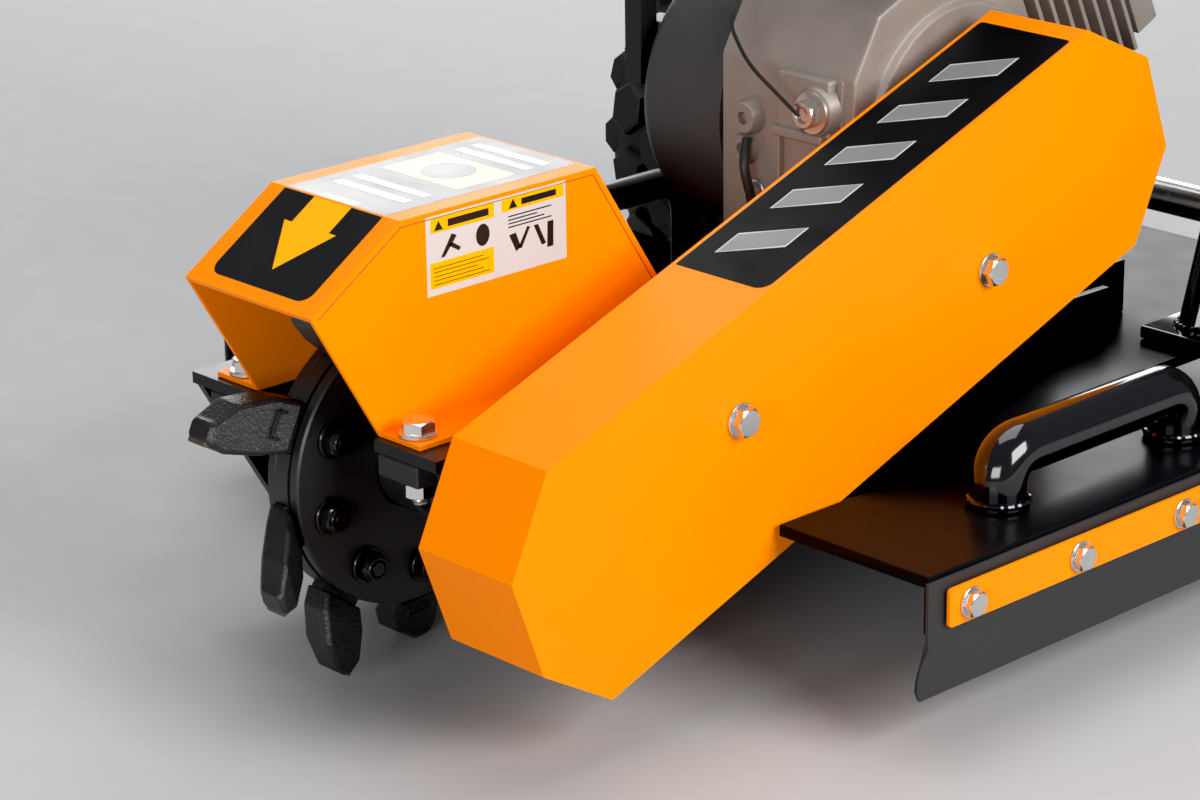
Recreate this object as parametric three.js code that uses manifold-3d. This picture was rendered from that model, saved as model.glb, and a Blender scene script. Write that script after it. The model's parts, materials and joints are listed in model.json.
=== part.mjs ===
// Walk-behind petrol stump grinder.
// Millimetres, +X to the operator's left (belt side), +Y rearward, +Z up.
// Every piece is drawn about the cutter shaft's centre; the whole machine is then moved
// so that its origin is on the ground under the middle of its bounding box.
import * as THREE from 'three';
import { mergeVertices } from 'three/addons/utils/BufferGeometryUtils.js';
import { ConvexGeometry } from 'three/addons/geometries/ConvexGeometry.js';
import Module from 'manifold-3d';

const wasm = await Module();
wasm.setup();

// ---- driving dimensions ----
const GAP = 0.3;              // air between touching pieces
const BOLT_GAP = 1;           // clearance round a bolt or a running shaft

const SHAFT_RADIUS = 12.5;
const DISC_RADIUS = 95;
const DISC_HALF = 6;          // half the centre disc's thickness
const PLATE_OUTER = 15;       // outer face of the two clamp plates
const HUB_RADIUS = 30;
const SHANK_ROOT = 58;        // a tooth's shank: its inner end and half its width
const SHANK_HALF = 16;
const TOOTH_COUNT = 9;
const TOOTH_BOLT_CIRCLE = 72;
const TOOTH_TIP_RADIUS = 142;
const TOOTH_LEAD = 8;         // degrees that a tip runs ahead of its bolt
const FIRST_TOOTH = 154.4;    // degrees from +Y towards +Z

const HOOD_HALF = 60.5;
const SHEET = 3;
const FLANGE_UNDERSIDE = 44.5;
const FLANGE_OUTER = 98;
const HOOD_FRONT = -65;
const HOOD_REAR = 191;
const HOOD_TOP = 175.5;

const RAIL_BOTTOM = 36.5;     // underside of the rails' top flange
const RAIL_INNER = 61;
const WEB_INNER = 112;
const WEB_OUTER = 118;
const RAIL_REAR = 560;

const BEARING_X = 82;
const BEARING_HALF = 19;
const FOOT_BOTTOM = 21.5;     // underside of the bearing blocks' feet
const BEARING_BOLT_Y = 52.5;
const BEARING_BOLTS = [-BEARING_BOLT_Y, BEARING_BOLT_Y];
const BOLT_RADIUS = 6;        // M12 bolts, their hex heads' corners and their washers
const HEAD_RADIUS = 11;
const WASHER_RADIUS = 12;
const WASHER_THICK = 2.5;

const DECK_TOP = -24;
const DECK_THICK = 8;
const LIP_BOTTOM = -62;
const DECK_FRONT = 125;
const DECK_HALF = 335;
const WING_REAR = 495;
const DECK_NARROW = 190;
const DECK_REAR = 780;

const CRANK_Y = 412;
const CRANK_Z = 149;
const ENGINE_BASE = 16;
const FUEL_CAP_X = -20;
const FUEL_CAP_Y = 420;
const CYLINDER_TILT = THREE.MathUtils.degToRad(25);
const CYLINDER_X = 39;
const CASE_RIGHT = -22;       // crankcase's right face, where the fan shroud begins
const CASE_LEFT = 100;
const SHROUD_RIGHT = -105;
const SHROUD_RADIUS = 99;

const CUTTER_PULLEY_RADIUS = 62;
const CLUTCH_PULLEY_RADIUS = 55;
const PULLEY_NEAR = 150;
const PULLEY_FAR = 184;
const PULLEY_FLANGE = 3;

const GUARD_Y = -2;           // centre of the guard's nose
const GUARD_Z = -6;
const GUARD_TILT = THREE.MathUtils.degToRad(20);
const GUARD_HALF = 83.5;
const GUARD_LENGTH = 440;     // between the centres of its two rounded ends
const GUARD_BACK = 126;
const GUARD_FACE = 208;

const TYRE_RADIUS = 177.5;
const TYRE_WIDTH = 145;
const RIM_RADIUS = 76;
const WHEEL_X = 293.5;
const WHEEL_Y = 687;
const WHEEL_Z = 38.12;
const AXLE_RADIUS = 12.7;
const HUB_HALF = 35;

const BAR_RADIUS = 16;
const GRIP_RADIUS = 21;
const GRIP_INNER = 50;        // the grips' ends, from the machine's middle
const GRIP_OUTER = 150;
const HANDLE_Y = 1690;
const HANDLE_Z = 830;
const BAIL_PIVOT_Y = 1590;
const BAIL_PIVOT_Z = 850;
const BAIL_REACH = 102;
const BAIL_ANGLE = THREE.MathUtils.degToRad(46);
const THROTTLE_Y = 1400;
const THROTTLE_Z = 777;

// ---- materials ----
function finish(color, roughness, metalness) {
  return () => new THREE.MeshStandardMaterial({ color, roughness, metalness });
}

const orangePaint = finish(0xf58a00, 0.42, 0.1);
const blackPaint = finish(0x0b0b0c, 0.3, 0.2);
const castIron = finish(0x1c1c1e, 0.7, 0.5);
const forgedSteel = finish(0x17171a, 0.5, 0.6);
const zincSteel = finish(0xb9babd, 0.3, 0.9);
const castAluminium = finish(0x8d847a, 0.55, 0.8);
const greySheet = finish(0x3b3c3e, 0.45, 0.5);
const blackRubber = finish(0x202021, 0.85, 0);
const blackPlastic = finish(0x151516, 0.6, 0);

// ---- solids ----
const AXIS = {
  x: new THREE.Vector3(1, 0, 0),
  y: new THREE.Vector3(0, 1, 0),
  z: new THREE.Vector3(0, 0, 1),
};

function solidOf(geometry) {
  geometry.deleteAttribute('normal');
  geometry.deleteAttribute('uv');
  const merged = mergeVertices(geometry, 1e-4);
  return new wasm.Manifold(new wasm.Mesh({
    numProp: 3,
    vertProperties: new Float32Array(merged.attributes.position.array),
    triVerts: new Uint32Array(merged.index.array),
  }));
}

function geometryOf(solid) {
  const mesh = solid.getMesh();
  const geometry = new THREE.BufferGeometry();
  geometry.setAttribute('position', new THREE.BufferAttribute(new Float32Array(mesh.vertProperties), 3));
  geometry.setIndex(new THREE.BufferAttribute(new Uint32Array(mesh.triVerts), 1));
  geometry.computeVertexNormals();
  return geometry;
}

function join(...solids) {
  return solids.reduce((whole, next) => whole.add(next));
}

function cut(solid, ...tools) {
  return tools.reduce((rest, tool) => rest.subtract(tool), solid);
}

function box(x0, x1, y0, y1, z0, z1) {
  const geometry = new THREE.BoxGeometry(x1 - x0, y1 - y0, z1 - z0);
  geometry.translate((x0 + x1) / 2, (y0 + y1) / 2, (z0 + z1) / 2);
  return solidOf(geometry);
}

function prism(outline, from, to, right, up, along) {
  const shape = new THREE.Shape(outline.map(([a, b]) => new THREE.Vector2(a, b)));
  const geometry = new THREE.ExtrudeGeometry(shape, { depth: to - from, bevelEnabled: false });
  geometry.translate(0, 0, from);
  geometry.applyMatrix4(new THREE.Matrix4().makeBasis(right, up, along));
  return solidOf(geometry);
}

// An outline of [y, z] points between two x values.
function slabX(outline, x0, x1) {
  return prism(outline, x0, x1, AXIS.y, AXIS.z, AXIS.x);
}

// An outline of [x, y] points between two z values.
function slabZ(outline, z0, z1) {
  return prism(outline, z0, z1, AXIS.x, AXIS.y, AXIS.z);
}

function rod(axis, radius, from, to, a, b, sides = 20) {
  const geometry = new THREE.CylinderGeometry(radius, radius, to - from, sides);
  const middle = (from + to) / 2;
  if (axis === 'x') {
    geometry.rotateZ(-Math.PI / 2);
    geometry.translate(middle, a, b);
  } else if (axis === 'y') {
    geometry.translate(a, middle, b);
  } else {
    geometry.rotateX(Math.PI / 2);
    geometry.translate(a, b, middle);
  }
  return solidOf(geometry);
}

// A ring about an X axis through (y, z): bore and outer radius, between two x values.
function ringX(bore, radius, x0, x1, y = 0, z = 0, sides = 30) {
  return cut(rod('x', radius, x0, x1, y, z, sides), rod('x', bore, x0 - 1, x1 + 1, y, z, sides));
}

// A closed outline of [x, radius] points turned about the X axis.
function latheX(outline, sides = 36) {
  const profile = outline.map(([x, radius]) => new THREE.Vector2(radius, -x));
  const geometry = new THREE.LatheGeometry(profile, sides);
  geometry.rotateZ(Math.PI / 2);
  const solid = solidOf(geometry);
  return solid.volume() < 0 ? solidOf(flipped(geometry)) : solid;
}

function flipped(geometry) {
  const copy = geometry.clone();
  const index = copy.index.array;
  for (let i = 0; i < index.length; i += 3) {
    [index[i], index[i + 1]] = [index[i + 1], index[i]];
  }
  return copy;
}

// A path through stations, with a cross-section square to it at each one.
class StationPath extends THREE.Curve {
  constructor(stations) {
    super();
    this.stations = stations;
    this.steps = stations.length - 1;
  }

  getPointAt(t) {
    return this.stations[Math.round(t * this.steps)].clone();
  }

  getTangentAt(t) {
    const i = Math.round(t * this.steps);
    const here = this.stations[i];
    const before = this.stations[Math.max(i - 1, 0)];
    const after = this.stations[Math.min(i + 1, this.steps)];
    const arriving = here.clone().sub(before).normalize();
    const leaving = after.clone().sub(here).normalize();
    return arriving.add(leaving).normalize();
  }
}

// A bent tube through corner points, each corner rounded by a bend of a few stations.
function tube(corners, radius, bend, sides = 10) {
  const points = corners.map((corner) => new THREE.Vector3(...corner));
  const stations = [points[0]];
  for (let i = 1; i < points.length - 1; i += 1) {
    const before = points[i].clone().sub(points[i - 1]).normalize();
    const after = points[i + 1].clone().sub(points[i]).normalize();
    const entry = points[i].clone().addScaledVector(before, -bend);
    const exit = points[i].clone().addScaledVector(after, bend);
    stations.push(...new THREE.QuadraticBezierCurve3(entry, points[i], exit).getPoints(3));
  }
  stations.push(points.at(-1));
  const path = new StationPath(stations);
  const section = new THREE.Shape();
  for (let i = 0; i < sides; i += 1) {
    const angle = (i / sides) * 2 * Math.PI;
    const point = [radius * Math.cos(angle), radius * Math.sin(angle)];
    if (i === 0) section.moveTo(...point);
    else section.lineTo(...point);
  }
  return solidOf(new THREE.ExtrudeGeometry(section, { steps: path.steps, extrudePath: path }));
}

function mirrored(solid) {
  return solid.mirror([1, 0, 0]);
}

function arc(y, z, radius, from, to, count) {
  return Array.from({ length: count + 1 }, (_, i) => {
    const angle = from + ((to - from) * i) / count;
    return [y + radius * Math.cos(angle), z + radius * Math.sin(angle)];
  });
}

const machine = new THREE.Group();

function addMesh(parent, name, solid, material) {
  const mesh = new THREE.Mesh(geometryOf(solid), material());
  mesh.name = name;
  parent.add(mesh);
  return mesh;
}

const add = (name, solid, material) => addMesh(machine, name, solid, material);

// The same piece on both sides of the machine, drawn on the left.
function addPair(name, solid, material) {
  add(`left_${name}`, solid, material);
  add(`right_${name}`, mirrored(solid), material);
}

// ---- cutter ----
const TOOTH_KINDS = [
  { tip: -27 },               // bent to the right
  { tip: 33 },                // bent to the left
  { tip: 8 },                 // nearly straight
];

function toothAngle(index) {
  return THREE.MathUtils.degToRad(FIRST_TOOTH + (index * 360) / TOOTH_COUNT);
}

// The tooth stands on +Y (outward) and leads towards +Z.
function toothSolid({ tip }) {
  const lead = THREE.MathUtils.degToRad(TOOTH_LEAD);
  const tipOut = TOOTH_TIP_RADIUS * Math.cos(lead);
  const tipLead = TOOTH_TIP_RADIUS * Math.sin(lead);
  const sections = [
    { out: 98, trail: -17, lead: 17, middle: tip * 0.1, half: 11 },
    { out: 110, trail: -15, lead: 23, middle: tip * 0.45, half: 12.5 },
    { out: 128, trail: -4, lead: 28, middle: tip * 0.85, half: 13 },
    { out: tipOut, trail: tipLead - 9, lead: tipLead + 5, middle: tip, half: 11 },
  ];
  const corners = ({ out, trail, lead: front, middle, half }) => [
    new THREE.Vector3(middle - half, out, trail),
    new THREE.Vector3(middle + half, out, trail),
    new THREE.Vector3(middle - half, out, front),
    new THREE.Vector3(middle + half, out, front),
  ];
  const claw = [];
  for (let i = 1; i < sections.length; i += 1) {
    claw.push(solidOf(new ConvexGeometry([...corners(sections[i - 1]), ...corners(sections[i])])));
  }
  const shank = box(-DISC_HALF + GAP, DISC_HALF - GAP, SHANK_ROOT, 99, -SHANK_HALF, SHANK_HALF);
  const seat = PLATE_OUTER + GAP;
  const boltLow = -PLATE_OUTER - 8;
  const boltHigh = PLATE_OUTER + 12;
  const bolt = rod('x', BOLT_RADIUS, boltLow, boltHigh, TOOTH_BOLT_CIRCLE, 0, 8);
  const head = rod('x', 9.5, boltLow, -seat, TOOTH_BOLT_CIRCLE, 0, 6);
  const washer = rod('x', WASHER_RADIUS, seat, seat + WASHER_THICK, TOOTH_BOLT_CIRCLE, 0, 10);
  const nut = rod('x', 10, seat + 1.7, boltHigh, TOOTH_BOLT_CIRCLE, 0, 6);
  return join(...claw, shank, bolt, head, washer, nut);
}

function atEachTooth(solid) {
  const copies = [];
  for (let i = 0; i < TOOTH_COUNT; i += 1) {
    copies.push(solid.rotate([THREE.MathUtils.radToDeg(toothAngle(i)), 0, 0]));
  }
  return copies;
}

function cutterRotor() {
  const disc = rod('x', DISC_RADIUS, -DISC_HALF, DISC_HALF, 0, 0, 36);
  const pockets = atEachTooth(box(-20, 20, SHANK_ROOT - GAP, 110, -SHANK_HALF - GAP, SHANK_HALF + GAP));
  const shaft = rod('x', SHAFT_RADIUS, -108, PULLEY_FAR + 4, 0, 0, 24);
  const hub = rod('x', HUB_RADIUS, -45, 45, 0, 0, 24);
  return join(cut(disc, ...pockets), hub, shaft);
}

function cutterPlate() {
  const plate = ringX(HUB_RADIUS + BOLT_GAP, DISC_RADIUS - 1, DISC_HALF + GAP, PLATE_OUTER, 0, 0, 32);
  return cut(plate, ...atEachTooth(rod('x', BOLT_RADIUS + BOLT_GAP, 0, 30, TOOTH_BOLT_CIRCLE, 0, 8)));
}

// A V-belt pulley about (y, z): its shaft bore, belt seat and two flanges.
function pulley(seat, y, z, bore) {
  return cut(
    join(
      rod('x', seat, PULLEY_NEAR, PULLEY_FAR, y, z, 32),
      rod('x', seat + 8, PULLEY_NEAR, PULLEY_NEAR + PULLEY_FLANGE, y, z, 32),
      rod('x', seat + 8, PULLEY_FAR - PULLEY_FLANGE, PULLEY_FAR, y, z, 32),
    ),
    rod('x', bore, PULLEY_NEAR - 1, PULLEY_FAR + 1, y, z, 16),
  );
}

add('cutter_rotor', cutterRotor(), forgedSteel);
addPair('cutter_plate', cutterPlate(), blackPaint);
for (let i = 0; i < TOOTH_COUNT; i += 1) {
  const tooth = addMesh(
    machine,
    `cutter_tooth_${i + 1}`,
    toothSolid(TOOTH_KINDS[i % TOOTH_KINDS.length]),
    forgedSteel,
  );
  tooth.rotation.x = toothAngle(i);
}
add('cutter_pulley', pulley(CUTTER_PULLEY_RADIUS, 0, 0, SHAFT_RADIUS + GAP), castIron);

// ---- side rails, cross member and deck ----
const boltHole = (y, z0, z1) => rod('z', BOLT_RADIUS + BOLT_GAP, z0, z1, BEARING_X, y, 10);

function sideRail() {
  const web = slabX([
    [-69, RAIL_BOTTOM],
    [-67, RAIL_BOTTOM - 1],
    [-12, -58],
    [DECK_FRONT - GAP, -58],
    [DECK_FRONT - GAP, DECK_TOP + GAP],
    [RAIL_REAR, DECK_TOP + GAP],
    [RAIL_REAR, 8],
    [290, 12],
    [240, FLANGE_UNDERSIDE - GAP],
    [-69, FLANGE_UNDERSIDE - GAP],
  ], WEB_INNER, WEB_OUTER);
  const flange = box(RAIL_INNER, WEB_OUTER, -70, 215, RAIL_BOTTOM, FLANGE_UNDERSIDE - GAP);
  const holes = BEARING_BOLTS.map((y) => boltHole(y, RAIL_BOTTOM - 1, FLANGE_UNDERSIDE));
  const shaftHole = rod('x', 24, WEB_INNER - 1, WEB_OUTER + 1, 0, 0, 24);
  return cut(join(web, flange), ...holes, shaftHole);
}

function hollowBar(x0, x1, y0, y1, z0, z1, wall, axis) {
  const inner = axis === 'x'
    ? box(x0 - 1, x1 + 1, y0 + wall, y1 - wall, z0 + wall, z1 - wall)
    : box(x0 + wall, x1 - wall, y0 - 1, y1 + 1, z0 + wall, z1 - wall);
  return cut(box(x0, x1, y0, y1, z0, z1), inner);
}

function deckPlate() {
  const notch = (x0, x1, rear) => [[x0, DECK_FRONT], [x0, rear], [x1, rear], [x1, DECK_FRONT]];
  const cutterNotch = notch(-RAIL_INNER, RAIL_INNER, 172);
  const guardNotch = notch(WEB_OUTER + 4, GUARD_FACE + 4, 205);
  const leftWing = [
    [DECK_HALF, DECK_FRONT],
    [DECK_HALF, WING_REAR],
    [DECK_NARROW, WING_REAR],
    [DECK_NARROW, DECK_REAR],
  ];
  const rightWing = leftWing.map(([x, y]) => [-x, y]).reverse();
  const plate = slabZ(
    [...cutterNotch, ...guardNotch, ...leftWing, ...rightWing],
    DECK_TOP - DECK_THICK,
    DECK_TOP,
  );
  const lip = box(DECK_HALF - 4, DECK_HALF, DECK_FRONT, WING_REAR, LIP_BOTTOM, DECK_TOP);
  return join(plate, lip, mirrored(lip));
}

addPair('side_rail', sideRail(), blackPaint);
add('cross_member', hollowBar(-WEB_INNER + GAP, WEB_INNER - GAP, 205, 245, -10, 30, 3, 'x'), blackPaint);
add('deck_plate', deckPlate(), blackPaint);
for (const [side, x] of [['left', CASE_LEFT - 40], ['right', CASE_RIGHT]]) {
  const rail = hollowBar(x, x + 40, 262, 600, DECK_TOP + GAP, ENGINE_BASE - GAP, 3, 'y');
  add(`${side}_engine_rail`, rail, blackPaint);
}

// ---- hood over the cutter ----
function cutterHood() {
  const outer = [
    [-114, 130],
    [-44, HOOD_TOP],
    [117, HOOD_TOP],
    [HOOD_REAR, 60],
    [HOOD_REAR, FLANGE_UNDERSIDE],
    [-64, FLANGE_UNDERSIDE],
  ];
  const inner = [
    [-150, 102.7],
    [-43.1, HOOD_TOP - SHEET],
    [115.3, HOOD_TOP - SHEET],
    [HOOD_REAR - SHEET, 59],
    [HOOD_REAR - SHEET, 0],
    [-150, 0],
  ];
  const shell = cut(
    slabX(outer, -HOOD_HALF, HOOD_HALF),
    slabX(inner, -HOOD_HALF + SHEET, HOOD_HALF - SHEET),
  );
  const flangeTop = FLANGE_UNDERSIDE + SHEET;
  const flange = box(HOOD_HALF - 1, FLANGE_OUTER, HOOD_FRONT, HOOD_REAR, FLANGE_UNDERSIDE, flangeTop);
  const holes = BEARING_BOLTS.map((y) => boltHole(y, FLANGE_UNDERSIDE - 1, 60));
  const side = cut(flange, ...holes);
  return join(shell, side, mirrored(side));
}

add('cutter_hood', cutterHood(), orangePaint);

// ---- bearings and their bolts ----
function bearingBlock() {
  const [x0, x1] = [BEARING_X - BEARING_HALF, BEARING_X + BEARING_HALF];
  const foot = box(x0, x1, -70, 70, FOOT_BOTTOM, RAIL_BOTTOM - GAP);
  const housing = rod('x', 35, BEARING_X - 17, BEARING_X + 17, 0, 0, 20);
  const insert = rod('x', 20, BEARING_X - 20, BEARING_X + 20, 0, 0, 20);
  const holes = BEARING_BOLTS.map((y) => boltHole(y, 0, 50));
  const bore = rod('x', SHAFT_RADIUS + GAP + 0.2, 50, 110, 0, 0, 24);
  return cut(join(foot, housing, insert), bore, ...holes);
}

function hoodBolt() {
  const top = FLANGE_UNDERSIDE + SHEET + GAP;
  return join(
    rod('z', WASHER_RADIUS, top, top + WASHER_THICK, 0, 0, 12),
    rod('z', HEAD_RADIUS, top + 2, top + 10, 0, 0, 6),
    rod('z', BOLT_RADIUS, 4, top + 1, 0, 0, 8),
    rod('z', WASHER_RADIUS, FOOT_BOTTOM - GAP - WASHER_THICK, FOOT_BOTTOM - GAP, 0, 0, 12),
    rod('z', HEAD_RADIUS, 8, FOOT_BOTTOM - WASHER_THICK, 0, 0, 6),
  );
}

addPair('bearing_block', bearingBlock(), castIron);
for (const [side, x] of [['left', BEARING_X], ['right', -BEARING_X]]) {
  for (const [end, y] of [['front', -BEARING_BOLT_Y], ['rear', BEARING_BOLT_Y]]) {
    add(`${side}_${end}_hood_bolt`, hoodBolt(), zincSteel).position.set(x, y, 0);
  }
}

// ---- belt drive ----
function guardPoint(along, across) {
  const c = Math.cos(GUARD_TILT);
  const s = Math.sin(GUARD_TILT);
  return [GUARD_Y + along * c - across * s, GUARD_Z + along * s + across * c];
}

// The guard's side outline: straight flanks and half-octagon ends, drawn in by an inset.
function guardOutline(inset) {
  const half = GUARD_HALF - inset;
  const corner = half * Math.tan(Math.PI / 8);
  return [
    [-corner, half],
    [-half, corner],
    [-half, -corner],
    [-corner - 8, -half],
    [GUARD_LENGTH + corner, -half],
    [GUARD_LENGTH + half, -corner],
    [GUARD_LENGTH + half, corner],
    [GUARD_LENGTH + corner, half],
  ].map(([along, across]) => guardPoint(along, across));
}

const GUARD_BOLTS = { front: guardPoint(111, 20), rear: guardPoint(340, -17) };
const GUARD_BOLT_RADIUS = 5;

function beltGuard() {
  const holes = Object.values(GUARD_BOLTS).map(([y, z]) => (
    rod('x', GUARD_BOLT_RADIUS + BOLT_GAP, GUARD_BACK, GUARD_FACE + 1, y, z, 16)
  ));
  return cut(
    slabX(guardOutline(0), GUARD_BACK, GUARD_FACE),
    slabX(guardOutline(SHEET), GUARD_BACK - 1, GUARD_FACE - SHEET),
    ...holes,
  );
}

function guardBackPlate() {
  const plate = slabX(guardOutline(SHEET + GAP), GUARD_BACK, GUARD_BACK + SHEET);
  const boss = (y, z) => rod('x', 12, WEB_OUTER + GAP, GUARD_BACK + 1, y, z, 16);
  const shaftHole = rod('x', 20, GUARD_BACK - 1, GUARD_BACK + SHEET + 1, 0, 0, 24);
  const crankHole = rod('x', 24, GUARD_BACK - 1, GUARD_BACK + SHEET + 1, CRANK_Y, CRANK_Z, 16);
  return cut(join(plate, boss(60, 26), boss(230, 20)), shaftHole, crankHole);
}

function guardBolt([y, z]) {
  return join(
    rod('x', GUARD_BOLT_RADIUS, GUARD_BACK + SHEET + GAP, GUARD_FACE + 3, y, z, 12),
    rod('x', 11, GUARD_FACE + GAP, GUARD_FACE + 2.3, y, z, 20),
    rod('x', 9.8, GUARD_FACE + 2, GUARD_FACE + 9, y, z, 6),
  );
}

// The belt's outline round both pulleys, a set distance outside their seats.
function beltLoop(distance) {
  const reach = Math.hypot(CRANK_Y, CRANK_Z);
  const lean = Math.atan2(CRANK_Z, CRANK_Y);
  const touch = Math.acos((CUTTER_PULLEY_RADIUS - CLUTCH_PULLEY_RADIUS) / reach);
  return [
    ...arc(0, 0, CUTTER_PULLEY_RADIUS + distance, lean + touch, lean + 2 * Math.PI - touch, 22),
    ...arc(CRANK_Y, CRANK_Z, CLUTCH_PULLEY_RADIUS + distance, lean - touch, lean + touch, 20),
  ];
}

function driveBelt() {
  const x0 = PULLEY_NEAR + PULLEY_FLANGE + 0.5;
  const x1 = PULLEY_FAR - PULLEY_FLANGE - 0.5;
  return cut(slabX(beltLoop(10), x0, x1), slabX(beltLoop(1), x0 - 1, x1 + 1));
}

function clutchPulley() {
  return join(
    pulley(CLUTCH_PULLEY_RADIUS, CRANK_Y, CRANK_Z, 5),
    rod('x', SHAFT_RADIUS, 70, PULLEY_FAR + 4, CRANK_Y, CRANK_Z, 16),
  );
}

add('belt_guard', beltGuard(), orangePaint);
add('guard_back_plate', guardBackPlate(), orangePaint);
for (const [end, centre] of Object.entries(GUARD_BOLTS)) {
  add(`guard_${end}_bolt`, guardBolt(centre), zincSteel);
}
add('drive_belt', driveBelt(), blackRubber);
add('clutch_pulley', clutchPulley(), castIron);

// ---- chip flaps ----
function chipFlap() {
  const outline = [
    [122, -27], [122, -72], [112, -94], [115, -100], [485, -100], [485, -27],
  ];
  return slabX(outline, DECK_HALF + GAP, DECK_HALF + 4.3);
}

addPair('chip_flap', chipFlap(), blackRubber);
addPair('flap_strip', box(DECK_HALF + 4.6, DECK_HALF + 7.6, 136, 478, -58, -33), orangePaint);

// ---- axle and wheels ----
function axle() {
  const outerCollar = rod('x', 21, WHEEL_X + HUB_HALF + 1, WHEEL_X + HUB_HALF + 9, WHEEL_Y, WHEEL_Z, 14);
  const innerCollar = rod('x', 21, WHEEL_X - HUB_HALF - 9, WHEEL_X - HUB_HALF - 1, WHEEL_Y, WHEEL_Z, 14);
  const end = WHEEL_X + HUB_HALF + 14;
  return join(
    rod('x', AXLE_RADIUS, -end, end, WHEEL_Y, WHEEL_Z, 16),
    outerCollar,
    innerCollar,
    mirrored(outerCollar),
    mirrored(innerCollar),
  );
}

function axleBracket() {
  const base = DECK_TOP + GAP;
  const plate = slabX([[632, base], [742, base], [716, WHEEL_Z + 24], [658, WHEEL_Z + 24]], 158, 168);
  return cut(plate, rod('x', AXLE_RADIUS + BOLT_GAP, 150, 180, WHEEL_Y, WHEEL_Z, 16));
}

function tyre() {
  const half = TYRE_WIDTH / 2;
  return latheX([
    [-half + 12, RIM_RADIUS], [-half, 128], [-half + 12, TYRE_RADIUS - 8], [-half + 36, TYRE_RADIUS],
    [half - 36, TYRE_RADIUS], [half - 12, TYRE_RADIUS - 8], [half, 128], [half - 12, RIM_RADIUS],
    [half - 24, RIM_RADIUS], [half - 16, 128], [half - 32, TYRE_RADIUS - 16],
    [-half + 32, TYRE_RADIUS - 16], [-half + 16, 128], [-half + 24, RIM_RADIUS],
    [-half + 12, RIM_RADIUS],
  ], 28);
}

function rim() {
  const barrel = ringX(RIM_RADIUS - 5, RIM_RADIUS - 1, -TYRE_WIDTH / 2 + 12, TYRE_WIDTH / 2 - 12, 0, 0, 24);
  const dish = ringX(24, RIM_RADIUS - 3, -4, 4, 0, 0, 24);
  const hub = ringX(AXLE_RADIUS + BOLT_GAP, 26, -HUB_HALF, HUB_HALF, 0, 0, 16);
  return join(barrel, dish, hub);
}

add('wheel_axle', axle(), zincSteel);
addPair('axle_bracket', axleBracket(), blackPaint);
for (const [side, x] of [['left', WHEEL_X], ['right', -WHEEL_X]]) {
  const wheel = new THREE.Group();
  wheel.position.set(x, WHEEL_Y, WHEEL_Z);
  machine.add(wheel);
  addMesh(wheel, `${side}_tyre`, tyre(), blackRubber);
  addMesh(wheel, `${side}_rim`, rim(), blackPaint);
}

// ---- tube hoops on the deck ----
function hoop(x, y0, y1, top, radius, bend) {
  const base = DECK_TOP + GAP;
  const bent = tube([[x, y0, base + 1], [x, y0, top], [x, y1, top], [x, y1, base + 1]], radius, bend);
  const feet = [y0, y1].map((y) => rod('z', radius + 2, base, base + 4, x, y, 16));
  return join(bent, ...feet);
}

addPair('lift_hoop', hoop(286, 245, 420, 10, 18, 22), blackPaint);
add('right_frame_hoop', hoop(-156, 250, 410, 66, 11, 30), blackPaint);

// ---- engine ----
// A point from the crankshaft centre: along the tilted cylinder and square to it.
function cylinderPoint(along, across) {
  const c = Math.cos(CYLINDER_TILT);
  const s = Math.sin(CYLINDER_TILT);
  return [CRANK_Y + along * c - across * s, CRANK_Z + along * s + across * c];
}

function cylinderBlock(from, to, half, x0, x1) {
  const outline = [[from, -half], [to, -half], [to, half], [from, half]];
  return slabX(outline.map(([along, across]) => cylinderPoint(along, across)), x0, x1);
}

function crankcase() {
  const body = slabX([
    [300, ENGINE_BASE], [530, ENGINE_BASE], [530, ENGINE_BASE + 12], [522, ENGINE_BASE + 14],
    cylinderPoint(95, -66), cylinderPoint(95, 66),
    [385, 262], [335, 240], [312, 200], [312, ENGINE_BASE + 14], [300, ENGINE_BASE + 12],
  ], CASE_RIGHT, CASE_LEFT);
  const cover = rod('x', 88, CASE_LEFT - 1, CASE_LEFT + 6, CRANK_Y, CRANK_Z, 32);
  const boss = rod('x', 30, CASE_LEFT, CASE_LEFT + 16, CRANK_Y, CRANK_Z, 16);
  return cut(join(body, cover, boss), rod('x', SHAFT_RADIUS + BOLT_GAP, 68, 120, CRANK_Y, CRANK_Z, 16));
}

function cylinder() {
  const pieces = [cylinderBlock(95 + GAP, 198, 50, CYLINDER_X - 46, CYLINDER_X + 46)];
  for (let i = 0; i < 7; i += 1) {
    const along = 104 + i * 13;
    pieces.push(cylinderBlock(along, along + 4, 64, CYLINDER_X - 60, CYLINDER_X + 60));
  }
  pieces.push(cylinderBlock(196, 218, 60, CYLINDER_X - 54, CYLINDER_X + 54));
  pieces.push(cylinderBlock(216, 252, 46, CYLINDER_X - 44, CYLINDER_X + 44));
  return join(...pieces);
}

function shroudOutline(inset) {
  const radius = SHROUD_RADIUS - inset;
  const bow = arc(CRANK_Y, CRANK_Z, radius, CYLINDER_TILT + Math.PI / 2, CYLINDER_TILT + 1.5 * Math.PI, 16);
  return [
    ...bow,
    cylinderPoint(120, -radius + 12),
    cylinderPoint(188 - inset, -60 + inset),
    cylinderPoint(188 - inset, 62 - inset),
    cylinderPoint(120, radius - 6),
  ];
}

function fanShroud() {
  const starterHole = rod('x', 48, SHROUD_RIGHT - 5, SHROUD_RIGHT + 10, CRANK_Y, CRANK_Z, 20);
  return cut(
    slabX(shroudOutline(0), SHROUD_RIGHT, CASE_RIGHT - GAP),
    slabX(shroudOutline(SHEET), SHROUD_RIGHT + SHEET, CASE_RIGHT + 5),
    starterHole,
  );
}

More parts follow.
